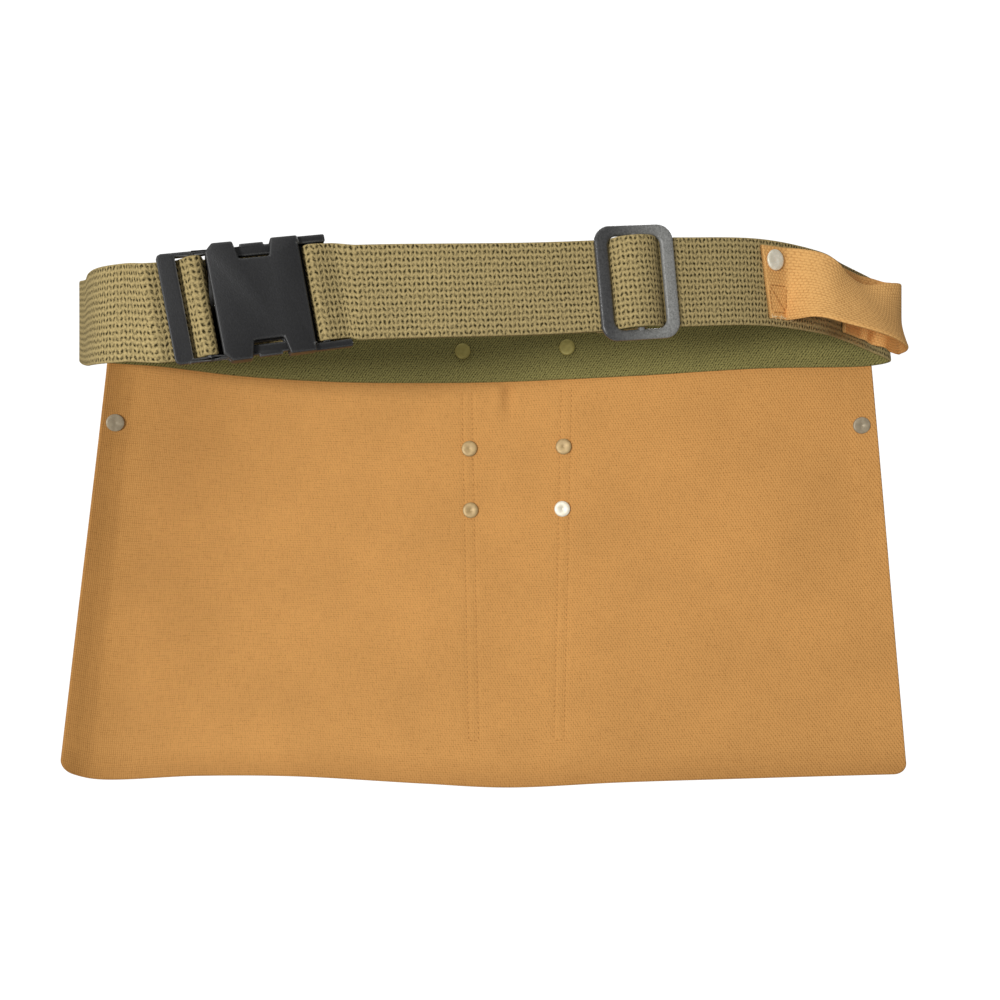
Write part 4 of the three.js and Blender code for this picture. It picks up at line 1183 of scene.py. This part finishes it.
behind_panel = BELT_THICK + GAP + PANEL_ROOM
for side in SIDES:
    belt_u = panel_u(SEAM_X[side] + SEAM_TO_BELT_RIVET[side], BELT_BAND / 2)
    in_belt = rivet_place(belt_u, BELT_BAND / 2, -behind_panel)
    edge_u = in_from_edge(side, EDGE_TO_RIVET)
    at_edge = rivet_place(edge_u, panel_v(edge_u, RIVET_Z["edge"]))
    # the lower right rivet gets the painted reflection
    lower = painted_reflection_metal if side == "right" else brass
    for kind, place, stack, material in (
        # the belt rivets: painted shade
        ("belt", in_belt, behind_panel + CANVAS, painted_shade_metal),
        ("upper", seam_rivet(side, "upper"), 2 * CANVAS + GAP, brass),
        ("lower", seam_rivet(side, "lower"), 3 * (CANVAS + GAP), lower),
        # the edge rivets: painted grey reflection
        ("edge", at_edge, 2 * CANVAS + GAP, painted_grey_reflection_metal),
    ):
        set_rivet(f"rivet_{kind}_{side}", place, stack, material, DIMPLE[kind])

sewn_end = frame_on_loop(loop_at_x(LOOP_RIVET["x"]))
origin = in_frame(sewn_end, 0, HALF_BELT + GAP + LOOP_THICK, LOOP_RIVET["up"])
in_loop = (origin, -sewn_end[1], sewn_end[3], -sewn_end[2])
# the tool loop's rivet gets the painted reflection
set_rivet("rivet_tool_loop", in_loop, LOOP_THICK + GAP + BELT_THICK, painted_reflection_metal, DIMPLE["tool_loop"])


# Slider


def rounded_ring(wide, high, corner):
    """Points round a rectangle with round corners, as many in each ring."""
    points = []
    for k, (sx, sy) in enumerate(((1, 1), (-1, 1), (-1, -1), (1, -1))):
        turn = np.linspace(k * math.pi / 2, (k + 1) * math.pi / 2, CORNER_POINTS)
        centre_x, centre_y = sx * (wide / 2 - corner), sy * (high / 2 - corner)
        points.append(np.stack([centre_x + corner * np.cos(turn), centre_y + corner * np.sin(turn)], -1))
    return np.vstack(points)


def squared(value, power):
    """A sine or cosine to a power, with its sign kept, for a squarer section."""
    return math.copysign(abs(value) ** power, value)


def slider_ring():
    """Rings of points round the opening, one for each place round the section."""
    outer = rounded_ring(SLIDER_WIDE, SLIDER_HIGH, SLIDER_CORNER["outer"])
    inner = rounded_ring(SLIDER_OPEN, SLIDER_OPEN_HIGH, SLIDER_CORNER["inner"])
    rows, columns = SLIDER_SECTION["points"], len(outer)
    o, a, n, w = slider_frame
    points = []
    for angle in np.linspace(0, 2 * math.pi, rows, endpoint=False):
        share = 0.5 - 0.5 * squared(math.cos(angle), SLIDER_SECTION["across"])
        out = squared(math.sin(angle), SLIDER_SECTION["out"]) * SLIDER_THICK / 2
        flat = mix(outer, inner, share)
        points.append(o + flat[:, :1] * a + flat[:, 1:] * w + out * n)
    faces = grid_faces(rows + 1, columns, wrap=True) % (rows * columns)
    return mesh_object("slider_ring", np.vstack(points), faces, plastic_gloss)


def slider_bar():
    half = SLIDER_OPEN_HIGH / 2 + SLIDER_BAR_END["sunk"]
    end = [(0, half), (SLIDER_BAR * 0.9, half), (SLIDER_BAR, half - SLIDER_BAR_END["round"])]
    shape = lathe([(r, -h) for r, h in end] + end[::-1])
    o, a, n, w = slider_frame
    return many("slider_bar", shape, [(o, a, -n, w)], plastic_gloss)


belongs(slider_ring(), "slider", "slider")
belongs(slider_bar(), "slider")


# Buckle: the solids, with their edges rounded, and the plate behind the female half's bar


def rounded(node, width):
    """One half of the buckle, with its flat faces joined and its edges rounded."""
    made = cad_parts[node]
    made.data.materials.clear()
    made.data.materials.append(plastic_black)
    weld = made.modifiers.new("weld", "WELD")
    weld.merge_threshold = 0.01 * MM
    dissolve = made.modifiers.new("dissolve", "DECIMATE")
    dissolve.decimate_type = "DISSOLVE"
    dissolve.angle_limit = math.radians(FLAT_WITHIN)
    bevel = made.modifiers.new("bevel", "BEVEL")
    bevel.width = width * MM
    bevel.segments = 3
    bevel.limit_method = "ANGLE"
    bevel.angle_limit = math.radians(SHARP_ABOVE)
    bevel.harden_normals = True
    bevel.use_clamp_overlap = False
    made.data.shade_smooth()


def back_plate():
    """A box between pairs of distances along, out and up."""
    along, out, up = BACK_PLATE.values()
    corners = [in_frame(buckle_frame, a, n, w) for w in up for n in out for a in along]
    faces = [(0, 2, 3, 1), (4, 5, 7, 6), (0, 1, 5, 4), (2, 6, 7, 3), (0, 4, 6, 2), (1, 3, 7, 5)]
    made = mesh_object("buckle_plate", corners, faces, plastic_black)
    made.data.shade_flat()
    return made


for half, width in EDGE_ROUND.items():
    rounded(f"buckle_{half}", width)
belongs(back_plate(), "buckle")


# Light and camera

for name, place, size, power in LIGHTS:
    data = bpy.data.lights.new(name, "AREA")
    data.shape = "RECTANGLE"
    data.size, data.size_y = size
    data.energy = power
    made = in_scene(name, data)
    made.location = place
    made.rotation_mode = "QUATERNION"
    made.rotation_quaternion = (Vector(LIGHT_AIM) - Vector(place)).to_track_quat("-Z", "Y")

backdrop = Graph(bpy.data.worlds.new("studio"), "Background")
seen = backdrop.node("LightPath").outputs["Is Camera Ray"]
backdrop.set("Color", grey(1))
backdrop.set("Strength", backdrop.times_plus(seen, WORLD_SEEN - WORLD_FILL, WORLD_FILL))
scene = bpy.context.scene
scene.world = backdrop.owner
scene.view_settings.view_transform = "Standard"

camera_data = bpy.data.cameras.new("camera")
camera_data.lens = CAMERA["lens"]
camera_data.sensor_width = CAMERA["sensor"]
camera_data.clip_start, camera_data.clip_end = CAMERA["clip"]
camera = in_scene("camera", camera_data)
camera.location = Vector(CAMERA["place"]) * MM
camera.rotation_euler = (math.radians(90), 0, 0)
scene.camera = camera
